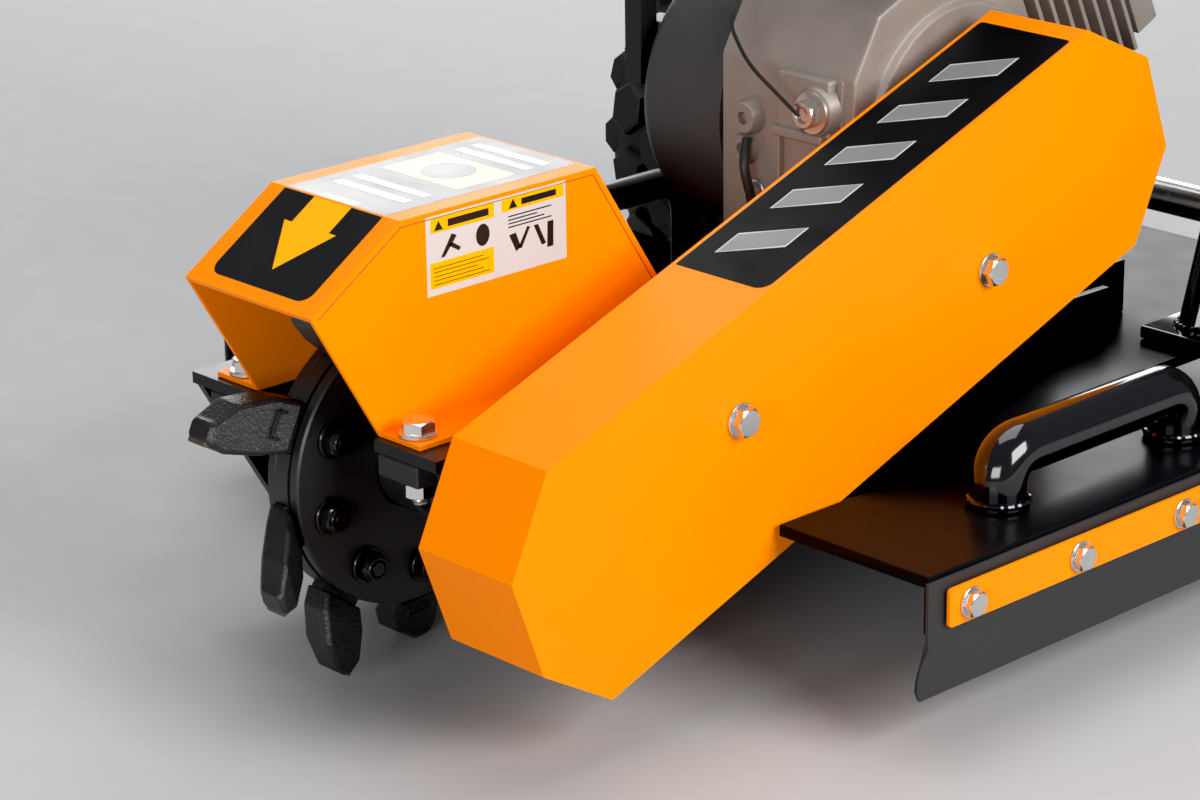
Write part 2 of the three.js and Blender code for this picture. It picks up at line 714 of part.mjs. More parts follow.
function recoilHousing() {
  const x = SHROUD_RIGHT - GAP;
  const dome = latheX([[x, 0], [x, 64], [x - 16, 62], [x - 30, 48], [x - 34, 0]], 24);
  const spout = box(x - 26, x, -72, -50, 30, 52);
  return join(dome, spout).translate([0, CRANK_Y, CRANK_Z]);
}

function recoilHandle() {
  const x = SHROUD_RIGHT - GAP - 13;
  return join(
    box(x - 8, x + 8, CRANK_Y - 90, CRANK_Y - 74, CRANK_Z + 10, CRANK_Z + 72),
    rod('y', 5, CRANK_Y - 75, CRANK_Y - 72 - GAP, x, CRANK_Z + 41, 12),
  );
}

function fuelTank() {
  const body = slabX([
    [312, 334], [322, 320], [528, 320], [540, 334], [540, 398], [520, 412], [332, 412], [312, 398],
  ], -98, 96);
  const legs = [[4, 392], [74, 392]].map(([x, y]) => rod('z', 12, 262 + GAP, 322, x, y, 16));
  const neck = rod('z', 24, 410, 422, FUEL_CAP_X, FUEL_CAP_Y, 16);
  return join(body, ...legs, neck);
}

function fuelCap() {
  const cap = latheX([[422.5, 0], [422.5, 33], [441, 31], [444, 26], [444, 0]], 24);
  return cap.rotate([0, -90, 0]).translate([FUEL_CAP_X, FUEL_CAP_Y, 0]);
}

// The muffler and the air filter stand on ports at the top of the cylinder head.
function boxOnPort(outline, x0, x1, portX, portRadius) {
  const [y, z] = cylinderPoint(207, 60);
  const port = rod('z', portRadius, z + 9, 332, portX, y + 8, 14);
  return join(slabX(outline, x0, x1), port);
}

function muffler() {
  return boxOnPort([
    [560, 336], [574, 322], [672, 322], [686, 336], [686, 396], [672, 410], [574, 410], [560, 396],
  ], 8, 110, 60, 15);
}

function airFilter() {
  return boxOnPort([
    [556, 340], [566, 324], [668, 324], [680, 340], [680, 400], [664, 416], [572, 416], [556, 400],
  ], -134, 3, -6, 8);
}

add('crankcase', crankcase(), castAluminium);
add('cylinder', cylinder(), castAluminium);
add('fan_shroud', fanShroud(), greySheet);
add('recoil_housing', recoilHousing(), greySheet);
add('recoil_handle', recoilHandle(), blackPlastic);
add('fuel_tank', fuelTank(), blackPaint);
add('fuel_cap', fuelCap(), blackPlastic);
add('muffler', muffler(), blackPaint);
add('air_filter', airFilter(), blackPlastic);

// ---- handlebar, grips and controls ----
function handlebar() {
  const side = [
    [176, 590, DECK_TOP + 6],
    [178, 690, 300],
    [190, 1240, 720],
    [214, 1560, 815],
    [214, HANDLE_Y, HANDLE_Z],
  ];
  const otherSide = side.map(([x, y, z]) => [-x, y, z]).reverse();
  const loop = tube([...side, ...otherSide], BAR_RADIUS, 60, 8);
  const foot = box(146, 206, 560, 620, DECK_TOP + GAP, DECK_TOP + 10);
  const lug = slabX([[1578, 815], [1602, 815], [1598, 862], [1582, 862]], 202, 208);
  const bracket = slabX([[1380, 750], [1420, 762], [1412, 800], [1388, 800]], -188, -182);
  const pinHole = rod('x', 5, -220, 220, BAIL_PIVOT_Y, BAIL_PIVOT_Z, 16);
  const braces = [
    rod('x', 12, -182, 182, 815, 396, 16),
    rod('x', 12, -186, 186, 1130, 636, 16),
  ];
  const pivot = rod('x', 4, -190, -176, THROTTLE_Y, THROTTLE_Z + 12, 12);
  return cut(join(loop, foot, mirrored(foot), lug, mirrored(lug), bracket, ...braces, pivot), pinHole);
}

function grip() {
  return ringX(BAR_RADIUS + BOLT_GAP / 2, GRIP_RADIUS, GRIP_INNER, GRIP_OUTER, HANDLE_Y, HANDLE_Z, 20);
}

function stopBail() {
  const barY = BAIL_PIVOT_Y + BAIL_REACH * Math.cos(BAIL_ANGLE);
  const barZ = BAIL_PIVOT_Z + BAIL_REACH * Math.sin(BAIL_ANGLE);
  const arm = 192;
  const corners = [
    [arm + 18, BAIL_PIVOT_Y, BAIL_PIVOT_Z], [arm, BAIL_PIVOT_Y, BAIL_PIVOT_Z],
    [arm, barY, barZ], [-arm, barY, barZ],
    [-arm, BAIL_PIVOT_Y, BAIL_PIVOT_Z], [-arm - 18, BAIL_PIVOT_Y, BAIL_PIVOT_Z],
  ];
  return tube(corners, 4, 9, 8);
}

function throttleLever() {
  const z = THROTTLE_Z + 12;
  const blade = slabX([
    [THROTTLE_Y - 10, z - 10], [THROTTLE_Y + 10, z - 10], [THROTTLE_Y + 10, z + 8],
    [THROTTLE_Y + 5, z + 56], [THROTTLE_Y - 5, z + 56], [THROTTLE_Y - 10, z + 8],
  ], -181.5, -178);
  const knob = rod('x', 9, -186, -172, THROTTLE_Y, z + 56, 16);
  return cut(join(blade, knob), rod('x', 4 + BOLT_GAP, -190, -170, THROTTLE_Y, z, 16));
}

add('handlebar', handlebar(), blackPaint);
addPair('grip', grip(), blackRubber);
add('stop_bail', stopBail(), blackPaint);
add('throttle_lever', throttleLever(), blackPlastic);

// ---- stand the machine on the ground, centred on its bounding box ----
machine.updateMatrixWorld(true);
const bounds = new THREE.Box3().setFromObject(machine, true);
const centre = bounds.getCenter(new THREE.Vector3());
machine.position.set(-centre.x, -centre.y, -bounds.min.z);

const stumpGrinder = new THREE.Group();
stumpGrinder.add(machine);

export default stumpGrinder;
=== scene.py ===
# Looks for the walk-behind stump grinder. Lengths are in millimetres about the
# cutter shaft's centre: +X operator's left (belt side), +Y rearward, +Z up.
import json
import math

import bmesh
import bpy
import numpy as np
from mathutils import Matrix, Vector


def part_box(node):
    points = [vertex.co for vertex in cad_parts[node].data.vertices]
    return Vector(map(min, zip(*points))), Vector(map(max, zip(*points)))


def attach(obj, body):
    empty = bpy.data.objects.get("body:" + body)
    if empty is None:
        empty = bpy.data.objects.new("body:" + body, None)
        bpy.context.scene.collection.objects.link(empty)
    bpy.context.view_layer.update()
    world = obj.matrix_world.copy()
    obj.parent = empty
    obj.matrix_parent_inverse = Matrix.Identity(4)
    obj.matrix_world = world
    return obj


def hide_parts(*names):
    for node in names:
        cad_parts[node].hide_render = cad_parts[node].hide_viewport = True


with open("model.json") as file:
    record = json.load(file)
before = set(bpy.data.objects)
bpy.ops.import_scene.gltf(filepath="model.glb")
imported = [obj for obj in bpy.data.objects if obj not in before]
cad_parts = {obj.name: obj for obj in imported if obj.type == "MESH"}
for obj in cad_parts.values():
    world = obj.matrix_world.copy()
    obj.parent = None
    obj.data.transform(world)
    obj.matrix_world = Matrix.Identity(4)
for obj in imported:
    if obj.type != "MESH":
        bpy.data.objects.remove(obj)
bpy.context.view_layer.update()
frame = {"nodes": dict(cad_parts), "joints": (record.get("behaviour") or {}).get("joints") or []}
joints = {joint["name"]: joint for joint in frame["joints"]}
SHAFT = np.array(joints["cutter_spin"]["pos_m"])


# ---- dimensions ----
def span(node):
    """Lowest and highest corner of a CAD node, in millimetres about the cutter shaft."""
    low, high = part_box(node)
    return (np.array(low) - SHAFT) * 1000, (np.array(high) - SHAFT) * 1000


HOOD_HALF = 60.5
HOOD_NOSE = (-114, 130)
HOOD_FOLD = (-44, 175.5)
HOOD_REAR_FOLD = (117, 175.5)
HOOD_TAIL = (191, 60)
FLANGE_UNDERSIDE = 44.5
DISC_RADIUS = 95
DISC_HALF = 6
PLATE_OUTER = 15
BOLT_CIRCLE = 72
TOOTH_COUNT = 9
FIRST_TOOTH = 154.4
TOOTH_TIPS = (-27, 33, 8)
TIP_RADIUS = 142
TIP_LEAD = math.radians(8)
BEARING_X = 82
BEARING_BOLT_Y = 52.5
GUARD_CENTRE = (-2, -6)
GUARD_TILT = math.radians(20)
GUARD_HALF = 83.5
GUARD_LENGTH = 440
GUARD_BACK = 126
GUARD_FACE = 208
DECK_TOP = -24
DECK_HALF = 335
CRANK = (412, 149)
CASE_FRONT = 312
CASE_RIGHT = -22
SHROUD_RIGHT = -105
SHROUD_RADIUS = 99
CYLINDER_TILT = math.radians(25)
TYRE_RADIUS = 177.5
TYRE_HALF = 72.5
RIM_RADIUS = 76
WHEEL = tuple((np.array(joints["left_wheel_spin"]["pos_m"]) - SHAFT) * 1000)
HANDLE = (1690, 830)
BAIL_PIVOT = (1590, 850)


# ---- shapes: a shape is (vertices, faces) ----
def merge(*shapes):
    vertices, faces, start = [], [], 0
    for points, loops in shapes:
        vertices.append(np.asarray(points, float))
        faces += [tuple(i + start for i in loop) for loop in loops]
        start += len(points)
    return np.vstack(vertices), faces


def moved(shape, x=0, y=0, z=0):
    return shape[0] + np.array([x, y, z]), shape[1]


def mapped(shape, matrix):
    return shape[0] @ np.array(matrix.to_3x3()).T + np.array(matrix.translation), shape[1]


def turned(shape, axis, degrees):
    return mapped(shape, Matrix.Rotation(math.radians(degrees), 4, axis))


def mirrored(shape):
    return shape[0] * np.array([-1, 1, 1]), shape[1]


def aimed(shape, place, direction):
    """Stands a shape drawn on +Z at a place, along a direction."""
    turn = Vector(direction).to_track_quat("Z", "Y").to_matrix().to_4x4()
    return moved(mapped(shape, turn), *place)


def loft(rings, closed=False, caps=True):
    """A skin over rings of equal length."""
    count, steps = len(rings[0]), len(rings)
    faces = []
    for k in range(steps if closed else steps - 1):
        a, b = k * count, ((k + 1) % steps) * count
        for i in range(count):
            j = (i + 1) % count
            faces.append((a + i, a + j, b + j, b + i))
    if caps and not closed:
        faces.append(tuple(range(count)))
        faces.append(tuple(range((steps - 1) * count, steps * count)))
    return np.vstack(rings), faces


def prism(outline, low, high, axis="x"):
    order = {"x": (2, 0, 1), "y": (0, 2, 1), "z": (0, 1, 2)}[axis]
    return loft([np.array([(a, b, h) for a, b in outline], float)[:, order] for h in (low, high)])


def block(x0, x1, y0, y1, z0, z1):
    return prism([(x0, y0), (x1, y0), (x1, y1), (x0, y1)], z0, z1, "z")


def circle(radius, height, steps):
    angles = np.linspace(0, 2 * math.pi, steps, endpoint=False)
    return np.column_stack([radius * np.cos(angles), radius * np.sin(angles), np.full(steps, height)])


def lathe(profile, steps=64, closed=False):
    """(height, radius) pairs turned about +Z."""
    return loft([circle(max(radius, 0.01), height, steps) for height, radius in profile], closed)


def on_x(shape, x=0, y=0, z=0):
    """A shape drawn on +Z, laid along +X."""
    return moved(mapped(shape, Matrix.Rotation(math.pi / 2, 4, "Y")), x, y, z)


def cylinder(radius, low, high, edge=0.6, steps=48):
    foot = [(low, radius - edge), (low + edge, radius)]
    head = [(high - edge, radius), (high, radius - edge)]
    return lathe(foot + head, steps)


def ring(bore, radius, low, high, edge=0.5, steps=64):
    return lathe([
        (low, bore), (low, radius - edge), (low + edge, radius),
        (high - edge, radius), (high, radius - edge), (high, bore),
    ], steps, closed=True)


def rounded_path(corners, bend, steps=10):
    """Stations through corner points, with every corner rounded."""
    points = [Vector(corner) for corner in corners]
    stations = [points[0]]
    for before, here, after in zip(points, points[1:], points[2:]):
        entry = here - (here - before).normalized() * bend
        leave = here + (after - here).normalized() * bend
        for i in range(steps + 1):
            t = i / steps
            stations.append(entry * (1 - t) ** 2 + here * 2 * t * (1 - t) + leave * t * t)
    stations.append(points[-1])
    return stations


def tube(stations, radius, sides=20, closed=False):
    """A round bar through stations; radius is a number or one number a station."""
    stations = [Vector(s) for s in stations]
    radii = radius if hasattr(radius, "__len__") else [radius] * len(stations)
    last = len(stations) - 1
    rings, side = [], None
    for i, here in enumerate(stations):
        before = stations[i - 1] if i or closed else here
        after = stations[(i + 1) % len(stations)] if i < last or closed else here
        ahead = ((after - here).normalized() + (here - before).normalized()).normalized()
        if side is None:
            side = ahead.orthogonal()
        side = (side - ahead * side.dot(ahead)).normalized()
        up = ahead.cross(side)
        rings.append(np.array([
            here + (side * math.cos(a) + up * math.sin(a)) * radii[i]
            for a in np.linspace(0, 2 * math.pi, sides, endpoint=False)
        ]))
    return loft(rings, closed)


def hexagon(corner, height, hole=0, steps=48):
    """A hex head or nut standing on z 0, with a chamfered top."""
    flat = corner * math.cos(math.pi / 6)
    angles = np.linspace(0, 2 * math.pi, steps, endpoint=False)
    reach = flat / np.cos((angles + math.pi / 6) % (math.pi / 3) - math.pi / 6)

    def at(radii, heights):
        return np.column_stack([radii * np.cos(angles), radii * np.sin(angles), heights + 0 * angles])

    rings = [
        at(reach - 0.4, 0), at(reach, 0.4),
        at(reach, height - 0.4 - 0.58 * (reach - flat)),
        at(flat * 0.95, height),
    ]
    if hole:
        rings += [at(hole + 0.8, height), at(hole, height - 0.8), at(hole, height - 2)]
    return loft(rings)


def thread(radius, low, high, pitch=1.5):
    profile = [(low, radius - 0.8)]
    height = low
    while height + pitch < high:
        profile += [(height + pitch * 0.25, radius), (height + pitch * 0.75, radius - 0.7)]
        height += pitch
    return lathe(profile + [(high, radius - 1.2)], 32)


def bolt_head(corner, height, washer, thick=2):
    return merge(ring(0.5, washer, 0, thick, 0.5, 40), moved(hexagon(corner, height), z=thick))


def lock_nut(corner, height, bolt):
    """A nut with a collar and the bolt's threaded end."""
    collar = lathe([
        (0, corner * 0.80), (1.6, corner * 0.79), (2.6, corner * 0.72),
        (2.6, bolt + 0.6), (0.6, bolt + 0.4),
    ], 40)
    return merge(
        hexagon(corner, height),
        moved(collar, z=height),
        thread(bolt, height - 1, height + 3.4),
    )


def to_bmesh(shape):
    mesh = bmesh.new()
    made = [mesh.verts.new(v) for v in shape[0]]
    for loop in shape[1]:
        mesh.faces.new([made[i] for i in loop])
    mesh.normal_update()
    return mesh


def from_bmesh(mesh):
    mesh.verts.index_update()
    shape = np.array([v.co for v in mesh.verts]), [tuple(v.index for v in f.verts) for f in mesh.faces]
    mesh.free()
    return shape


def bevelled(shape, width, segments=2, above=25):
    """The shape with every edge sharper than an angle rounded."""
    mesh = to_bmesh(shape)
    bmesh.ops.recalc_face_normals(mesh, faces=mesh.faces)
    edges = [e for e in mesh.edges if len(e.link_faces) == 2 and e.calc_face_angle(0) > math.radians(above)]
    bmesh.ops.bevel(
        mesh, geom=edges, offset=width, offset_type="OFFSET", segments=segments,
        profile=0.5, affect="EDGES", clamp_overlap=True,
    )
    return from_bmesh(mesh)


def refined(node, width=0.8, segments=2, above=25):
    """The CAD node's own shape with its flat faces whole and its edges rounded."""
    mesh = bmesh.new()
    mesh.from_mesh(frame["nodes"][node].data)
    bmesh.ops.remove_doubles(mesh, verts=mesh.verts, dist=2e-5)
    bmesh.ops.dissolve_limit(mesh, angle_limit=math.radians(1), verts=mesh.verts, edges=mesh.edges)
    points, faces = from_bmesh(mesh)
    return bevelled(((points - SHAFT) * 1000, faces), width, segments, above)


def weld(stations, radius=2.2, closed=True):
    """A bead of weld: a bar whose thickness ripples."""
    radii = [radius * (0.85 + 0.3 * (i % 2)) for i in range(len(stations))]
    return tube(stations, radii, 8, closed)


def round_weld(centre, radius, axis="z", bead=2.2):
    steps = int(radius * 3)
    points = circle(radius, 0, steps + steps % 2)
    shape = weld([Vector(p) for p in points], bead)
    if axis == "x":
        shape = on_x(shape)
    if axis == "y":
        shape = mapped(shape, Matrix.Rotation(math.pi / 2, 4, "X"))
    return moved(shape, *centre)


# ---- finishes ----
def finish(name, colour, rough, metal=0.0, grain=1.0, bump=0.0, mottle=0.1, blotch=40.0,
           coat=0.0, specular=0.5):
    """A surface with fine grain, soft blotches of colour and uneven gloss. Grain and blotch are in mm."""
    made = bpy.data.materials.new(name)
    made.use_nodes = True
    tree = made.node_tree
    shader = tree.nodes["Principled BSDF"]
    shader.inputs["Metallic"].default_value = metal
    shader.inputs["Coat Weight"].default_value = coat
    shader.inputs["Coat Roughness"].default_value = 0.12
    shader.inputs["Specular IOR Level"].default_value = specular
    place = tree.nodes.new("ShaderNodeTexCoord")
    blotches = tree.nodes.new("ShaderNodeTexNoise")
    blotches.inputs["Scale"].default_value = 1000 / blotch
    blotches.inputs["Detail"].default_value = 4
    tree.links.new(place.outputs["Object"], blotches.inputs["Vector"])
    shade = tree.nodes.new("ShaderNodeMix")
    shade.data_type = "RGBA"
    shade.inputs["A"].default_value = (*[c * (1 - mottle) for c in colour], 1)
    shade.inputs["B"].default_value = (*[min(c * (1 + mottle), 1) for c in colour], 1)
    tree.links.new(blotches.outputs["Fac"], shade.inputs["Factor"])
    tree.links.new(shade.outputs["Result"], shader.inputs["Base Color"])
    gloss = tree.nodes.new("ShaderNodeMapRange")
    gloss.inputs["From Min"].default_value = 0.3
    gloss.inputs["From Max"].default_value = 0.7
    gloss.inputs["To Min"].default_value = rough * 0.85
    gloss.inputs["To Max"].default_value = min(rough * 1.15, 1)
    tree.links.new(blotches.outputs["Fac"], gloss.inputs["Value"])
    tree.links.new(gloss.outputs["Result"], shader.inputs["Roughness"])
    if bump:
        grains = tree.nodes.new("ShaderNodeTexNoise")
        grains.inputs["Scale"].default_value = 1000 / grain
        grains.inputs["Detail"].default_value = 3
        tree.links.new(place.outputs["Object"], grains.inputs["Vector"])
        relief = tree.nodes.new("ShaderNodeBump")
        relief.inputs["Strength"].default_value = 1.0
        relief.inputs["Distance"].default_value = bump / 1000
        tree.links.new(grains.outputs["Fac"], relief.inputs["Height"])
        tree.links.new(relief.outputs["Normal"], shader.inputs["Normal"])
    return made


orange = finish("orange_paint", (0.95, 0.232, 0.0), 0.42, grain=3, bump=0.05, mottle=0.03,
                blotch=90, specular=0.12)
orange_seam = finish("orange_seam", (0.28, 0.05, 0.0), 0.6, mottle=0.2)
black = finish("black_paint", (0.006, 0.006, 0.007), 0.32, grain=4, bump=0.06, mottle=0.2, specular=0.3)
deck_black = finish("deck_black_paint", (0.006, 0.006, 0.007), 0.24, grain=4, bump=0.04,
                    mottle=0.2, specular=0.04)
gloss_black = finish("gloss_black_tube", (0.004, 0.004, 0.005), 0.09, grain=14, bump=0.04, coat=0.3)
iron = finish("black_cast_iron", (0.02, 0.02, 0.021), 0.55, grain=1.6, bump=0.35, mottle=0.3, blotch=12)
forged = finish("forged_black", (0.012, 0.0118, 0.012), 0.36, grain=1.8, bump=0.55, mottle=0.3,
                blotch=10)
plate_black = finish("cutter_plate_black", (0.017, 0.0165, 0.0165), 0.36, grain=9, bump=0.06,
                     mottle=0.3, blotch=25)
fastener_black = finish("black_fastener", (0.01, 0.009, 0.009), 0.16, grain=2, bump=0.05,
                        mottle=0.3, blotch=6)
carbide = finish("carbide_tip", (0.1, 0.075, 0.055), 0.5, metal=0.4, grain=1, bump=0.25,
                 mottle=0.6, blotch=4)
zinc = finish("zinc_plate", (0.74, 0.73, 0.7), 0.24, metal=1, grain=1.5, bump=0.03,
              mottle=0.08, blotch=6)
aluminium = finish("cast_aluminium", (0.31, 0.27, 0.238), 0.5, metal=0.35, grain=1.1, bump=0.1,
                   mottle=0.12, blotch=30)
machined = finish("machined_aluminium", (0.6, 0.57, 0.54), 0.3, metal=0.9, grain=1, bump=0.03)
grey_satin = finish("grey_satin_sheet", (0.05, 0.05, 0.051), 0.45, grain=1.5, bump=0.04, mottle=0.1)
rubber = finish("sheet_rubber", (0.018, 0.018, 0.0185), 0.5, grain=2.5, bump=0.05, mottle=0.15,
                blotch=60)
tyre_rubber = finish("tyre_rubber", (0.014, 0.014, 0.014), 0.62, grain=2, bump=0.12,
                     mottle=0.25, blotch=15)
plastic = finish("black_plastic", (0.008, 0.008, 0.008), 0.42, grain=0.9, bump=0.05)
exhaust = finish("exhaust_black", (0.012, 0.011, 0.011), 0.6, grain=1, bump=0.08, mottle=0.3)
decal_black = finish("decal_black", (0.009, 0.009, 0.0095), 0.26, specular=0.26)
stripe_black = finish("stripe_black", (0.006, 0.006, 0.0065), 0.3, specular=0.08)
decal_yellow = finish("decal_yellow", (0.98, 0.4, 0.0), 0.35, mottle=0.03, specular=0.2)
decal_white = finish("decal_white", (0.52, 0.505, 0.49), 0.4, mottle=0.03)
decal_grey = finish("decal_grey", (0.2, 0.2, 0.2), 0.35, mottle=0.05)
decal_cream = finish("decal_cream", (0.95, 0.55, 0.1), 0.3, mottle=0.05)


# ---- pieces ----
def piece(name, shapes, material, body="chassis", stands_for=(), sharp=32):
    points, faces = merge(*shapes)
    data = bpy.data.meshes.new(name)
    data.from_pydata((points / 1000 + SHAFT).tolist(), [], faces)
    data.validate()
    mesh = bmesh.new()
    mesh.from_mesh(data)
    bmesh.ops.recalc_face_normals(mesh, faces=mesh.faces)
    mesh.to_mesh(data)
    mesh.free()
    data.polygons.foreach_set("use_smooth", [True] * len(data.polygons))
    data.set_sharp_from_angle(angle=math.radians(sharp))
    data.materials.append(material)
    made = bpy.data.objects.new(name, data)
    bpy.context.scene.collection.objects.link(made)
    even = made.modifiers.new("even_normals", "WEIGHTED_NORMAL")
    even.keep_sharp = True
    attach(made, body)
    if stands_for:
        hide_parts(*stands_for)
    return made


def refined_piece(node, material, body="chassis", width=0.8, extra=()):
    return piece(f"{node}_look", [refined(node, width), *extra], material, body, [node])


SIDES = (("left", 1), ("right", -1))


def on_side(shape, side):
    return shape if side > 0 else mirrored(shape)


# ---- cutter ----
def tooth_ring(out, trail, lead, middle, half, chamfer=3):
    low, high = middle - half, middle + half
    outline = [
        (low + chamfer, trail), (high - chamfer, trail), (high, trail + chamfer), (high, lead - chamfer),
        (high - chamfer, lead), (low + chamfer, lead), (low, lead - chamfer), (low, trail + chamfer),
    ]
    return np.array([(x, out, z) for x, z in outline])


def tooth(tip):
    """A claw on +Y that leads towards +Z."""
    tip_out, tip_lead = TIP_RADIUS * math.cos(TIP_LEAD), TIP_RADIUS * math.sin(TIP_LEAD)
    claw = loft([
        tooth_ring(98, -17, 17, tip * 0.1, 11),
        tooth_ring(110, -15, 23, tip * 0.45, 12.5),
        tooth_ring(128, -4, 28, tip * 0.85, 13),
        tooth_ring(tip_out - 3, tip_lead - 10, tip_lead + 6, tip * 0.97, 11.5, 2.5),
        tooth_ring(tip_out, tip_lead - 8, tip_lead + 4, tip, 9, 2.5),
    ])
    shank = block(-DISC_HALF + 0.3, DISC_HALF - 0.3, 80, 99, -16, 16)
    return merge(bevelled(claw, 1.1, 2, 12), bevelled(shank, 0.8))


def tooth_window(tip):
    """A raised frame round a shallow window on the claw's root."""
    face = tip * 0.28 + 11.3
    bars = [
        block(face - 1, face + 1, 99, 111, z, z + 2.2) for z in (-9, 8)
    ] + [
        block(face - 1, face + 1, y, y + 2, -9, 10) for y in (99, 109)
    ]
    return merge(*[bevelled(bar, 0.5) for bar in bars])


def carbide_shape(tip):
    tip_out, tip_lead = TIP_RADIUS * math.cos(TIP_LEAD), TIP_RADIUS * math.sin(TIP_LEAD)
    half = 8.5
    root, root_out, end_out = tip * 0.93, tip_out - 13, tip_out - 0.8
    outline = [(root - half, root_out), (root + half, root_out), (tip + half, end_out), (tip - half, end_out)]
    return bevelled(prism(outline, tip_lead + 3, tip_lead + 7.2, "z"), 0.9)


def clamp_bolt():
    washer = ring(5.5, 12, 0, 2.5, 0.6, 48)
    near = on_x(merge(washer, moved(lock_nut(10, 6.8, 5.6), z=2.3)), PLATE_OUTER + 0.3)
    far = on_x(turned(hexagon(9.5, 7), "X", 180), -PLATE_OUTER - 0.3)
    return moved(merge(near, far), y=BOLT_CIRCLE)


for i in range(TOOTH_COUNT):
    angle = FIRST_TOOTH + i * 360 / TOOTH_COUNT
    tip = TOOTH_TIPS[i % len(TOOTH_TIPS)]
    node = f"cutter_tooth_{i + 1}"
    shapes = [turned(tooth(tip), "X", angle)]
    if i % 3 == 0:
        shapes.append(turned(tooth_window(tip), "X", angle))
    piece(f"{node}_claw", shapes, forged, "cutter", [node])
    piece(f"{node}_carbide", [turned(carbide_shape(tip), "X", angle)], carbide, "cutter")
    piece(f"{node}_bolt", [turned(clamp_bolt(), "X", angle)], fastener_black, "cutter")


TOOTH_POCKET = 16.3


def cutter_disc():
    sector = []
    step = 2 * math.pi / TOOTH_COUNT
    pocket = math.asin(TOOTH_POCKET / DISC_RADIUS)
    for i in range(TOOTH_COUNT):
        middle = math.radians(FIRST_TOOTH) + i * step
        for a in np.linspace(middle - step + pocket, middle - pocket, 10):
            sector.append((DISC_RADIUS * math.cos(a), DISC_RADIUS * math.sin(a)))
        turn = np.array([[math.cos(middle), -math.sin(middle)], [math.sin(middle), math.cos(middle)]])
        for corner in ((84, -TOOTH_POCKET), (84, TOOTH_POCKET)):
            sector.append(tuple(turn @ np.array(corner)))
    return bevelled(prism(sector, -DISC_HALF, DISC_HALF), 0.6)


low, high = span("cutter_rotor")
rotor_shapes = [
    cutter_disc(),
    on_x(cylinder(12.5, low[0], high[0], 1.2)),
    on_x(cylinder(29.6, -45, 45, 2)),
]
piece("cutter_rotor_look", rotor_shapes, plate_black, "cutter", ["cutter_rotor"])
for name, side in SIDES:
    clamp = on_x(ring(30.5, DISC_RADIUS - 1, DISC_HALF + 0.5, PLATE_OUTER, 1.3, 128))
    node = f"{name}_cutter_plate"
    piece(f"{node}_look", [on_side(clamp, side)], plate_black, "cutter", [node])


def grooved_pulley(seat, y, z):
    """A V-belt pulley about an X axis: two dished flanks and a groove."""
    profile = [
        (150, 13.2), (150, 26), (154, 27), (157, seat - 12), (150, seat - 9), (150, seat + 7.5),
        (150.6, seat + 8), (152.6, seat + 8), (153, seat + 7.5), (155, seat), (179, seat), (181, seat + 7.5),
        (181.4, seat + 8), (183.4, seat + 8), (184, seat + 7.5), (184, seat - 9), (177, seat - 12),
        (180, 27), (184, 26), (184, 13.2),
    ]
    return on_x(lathe(profile, 96, closed=True), 0, y, z)


piece("cutter_pulley_look", [grooved_pulley(62, 0, 0)], iron, "cutter", ["cutter_pulley"])
clutch_low, clutch_high = span("clutch_pulley")
clutch_shaft = on_x(cylinder(12.6, clutch_low[0], clutch_high[0], 1.2), 0, *CRANK)
clutch_shapes = [grooved_pulley(55, *CRANK), clutch_shaft]
piece("clutch_pulley_look", clutch_shapes, iron, "clutch", ["clutch_pulley"])
piece("drive_belt_look", [refined("drive_belt", 1.5, 2, 40)], rubber, stands_for=["drive_belt"])

# ---- hood over the cutter ----
piece("cutter_hood_look", [refined("cutter_hood", 1.1, 3)], orange, stands_for=["cutter_hood"])


def inset(outline, distance):
    """An outline drawn in by a distance, for a convex outline."""
    points = [Vector(p) for p in outline]
    middle = sum(points, Vector((0, 0))) / len(points)
    made = []
    for before, here, after in zip(points[-1:] + points, points, points[1:] + points[:1]):
        a, b = (here - before).normalized(), (after - here).normalized()
        inward = Vector((-a.y, a.x))
        if inward.dot(middle - here) < 0:
            inward = -inward
        other = Vector((-b.y, b.x))
        if other.dot(middle - here) < 0:
            other = -other
        bisector = (inward + other).normalized()
        made.append(tuple(here + bisector * distance / max(bisector.dot(inward), 0.2)))
    return made


HOOD_SIDE = [HOOD_NOSE, HOOD_FOLD, HOOD_REAR_FOLD, HOOD_TAIL, (191, 48), (-64, 48)]
seam_line = inset(HOOD_SIDE, 4.2)[:4]
for name, side in SIDES:
    seam = tube([(HOOD_HALF * side, y, z) for y, z in seam_line], 0.38, 6)
    piece(f"{name}_hood_seam", [seam], orange_seam)


def rounded(x0, x1, y0, y1, radii, steps=8):
    """A rectangle with its own radius at each corner, from low-low round to low-high."""
    made = []
    corners = [(x0, y0, 1, 1, 180), (x1, y0, -1, 1, 270), (x1, y1, -1, -1, 0), (x0, y1, 1, -1, 90)]
    for (x, y, dx, dy, start), radius in zip(corners, radii):
        if radius <= 0:
            made.append((x, y))
            continue
        for i in range(steps + 1):
            a = math.radians(start + 90 * i / steps)
            made.append((x + dx * radius + radius * math.cos(a), y + dy * radius + radius * math.sin(a)))
    return made


def sticker(outline, origin, right, up, lift=0.0, thick=0.12):
    """A thin sheet with an outline in the plane through origin, lifted off it."""
    right, up = Vector(right).normalized(), Vector(up).normalized()
    out = right.cross(up)
    rings = [
        np.array([Vector(origin) + right * a + up * b + out * h for a, b in outline])
        for h in (lift - 0.1, lift + thick)
    ]
    return loft(rings)


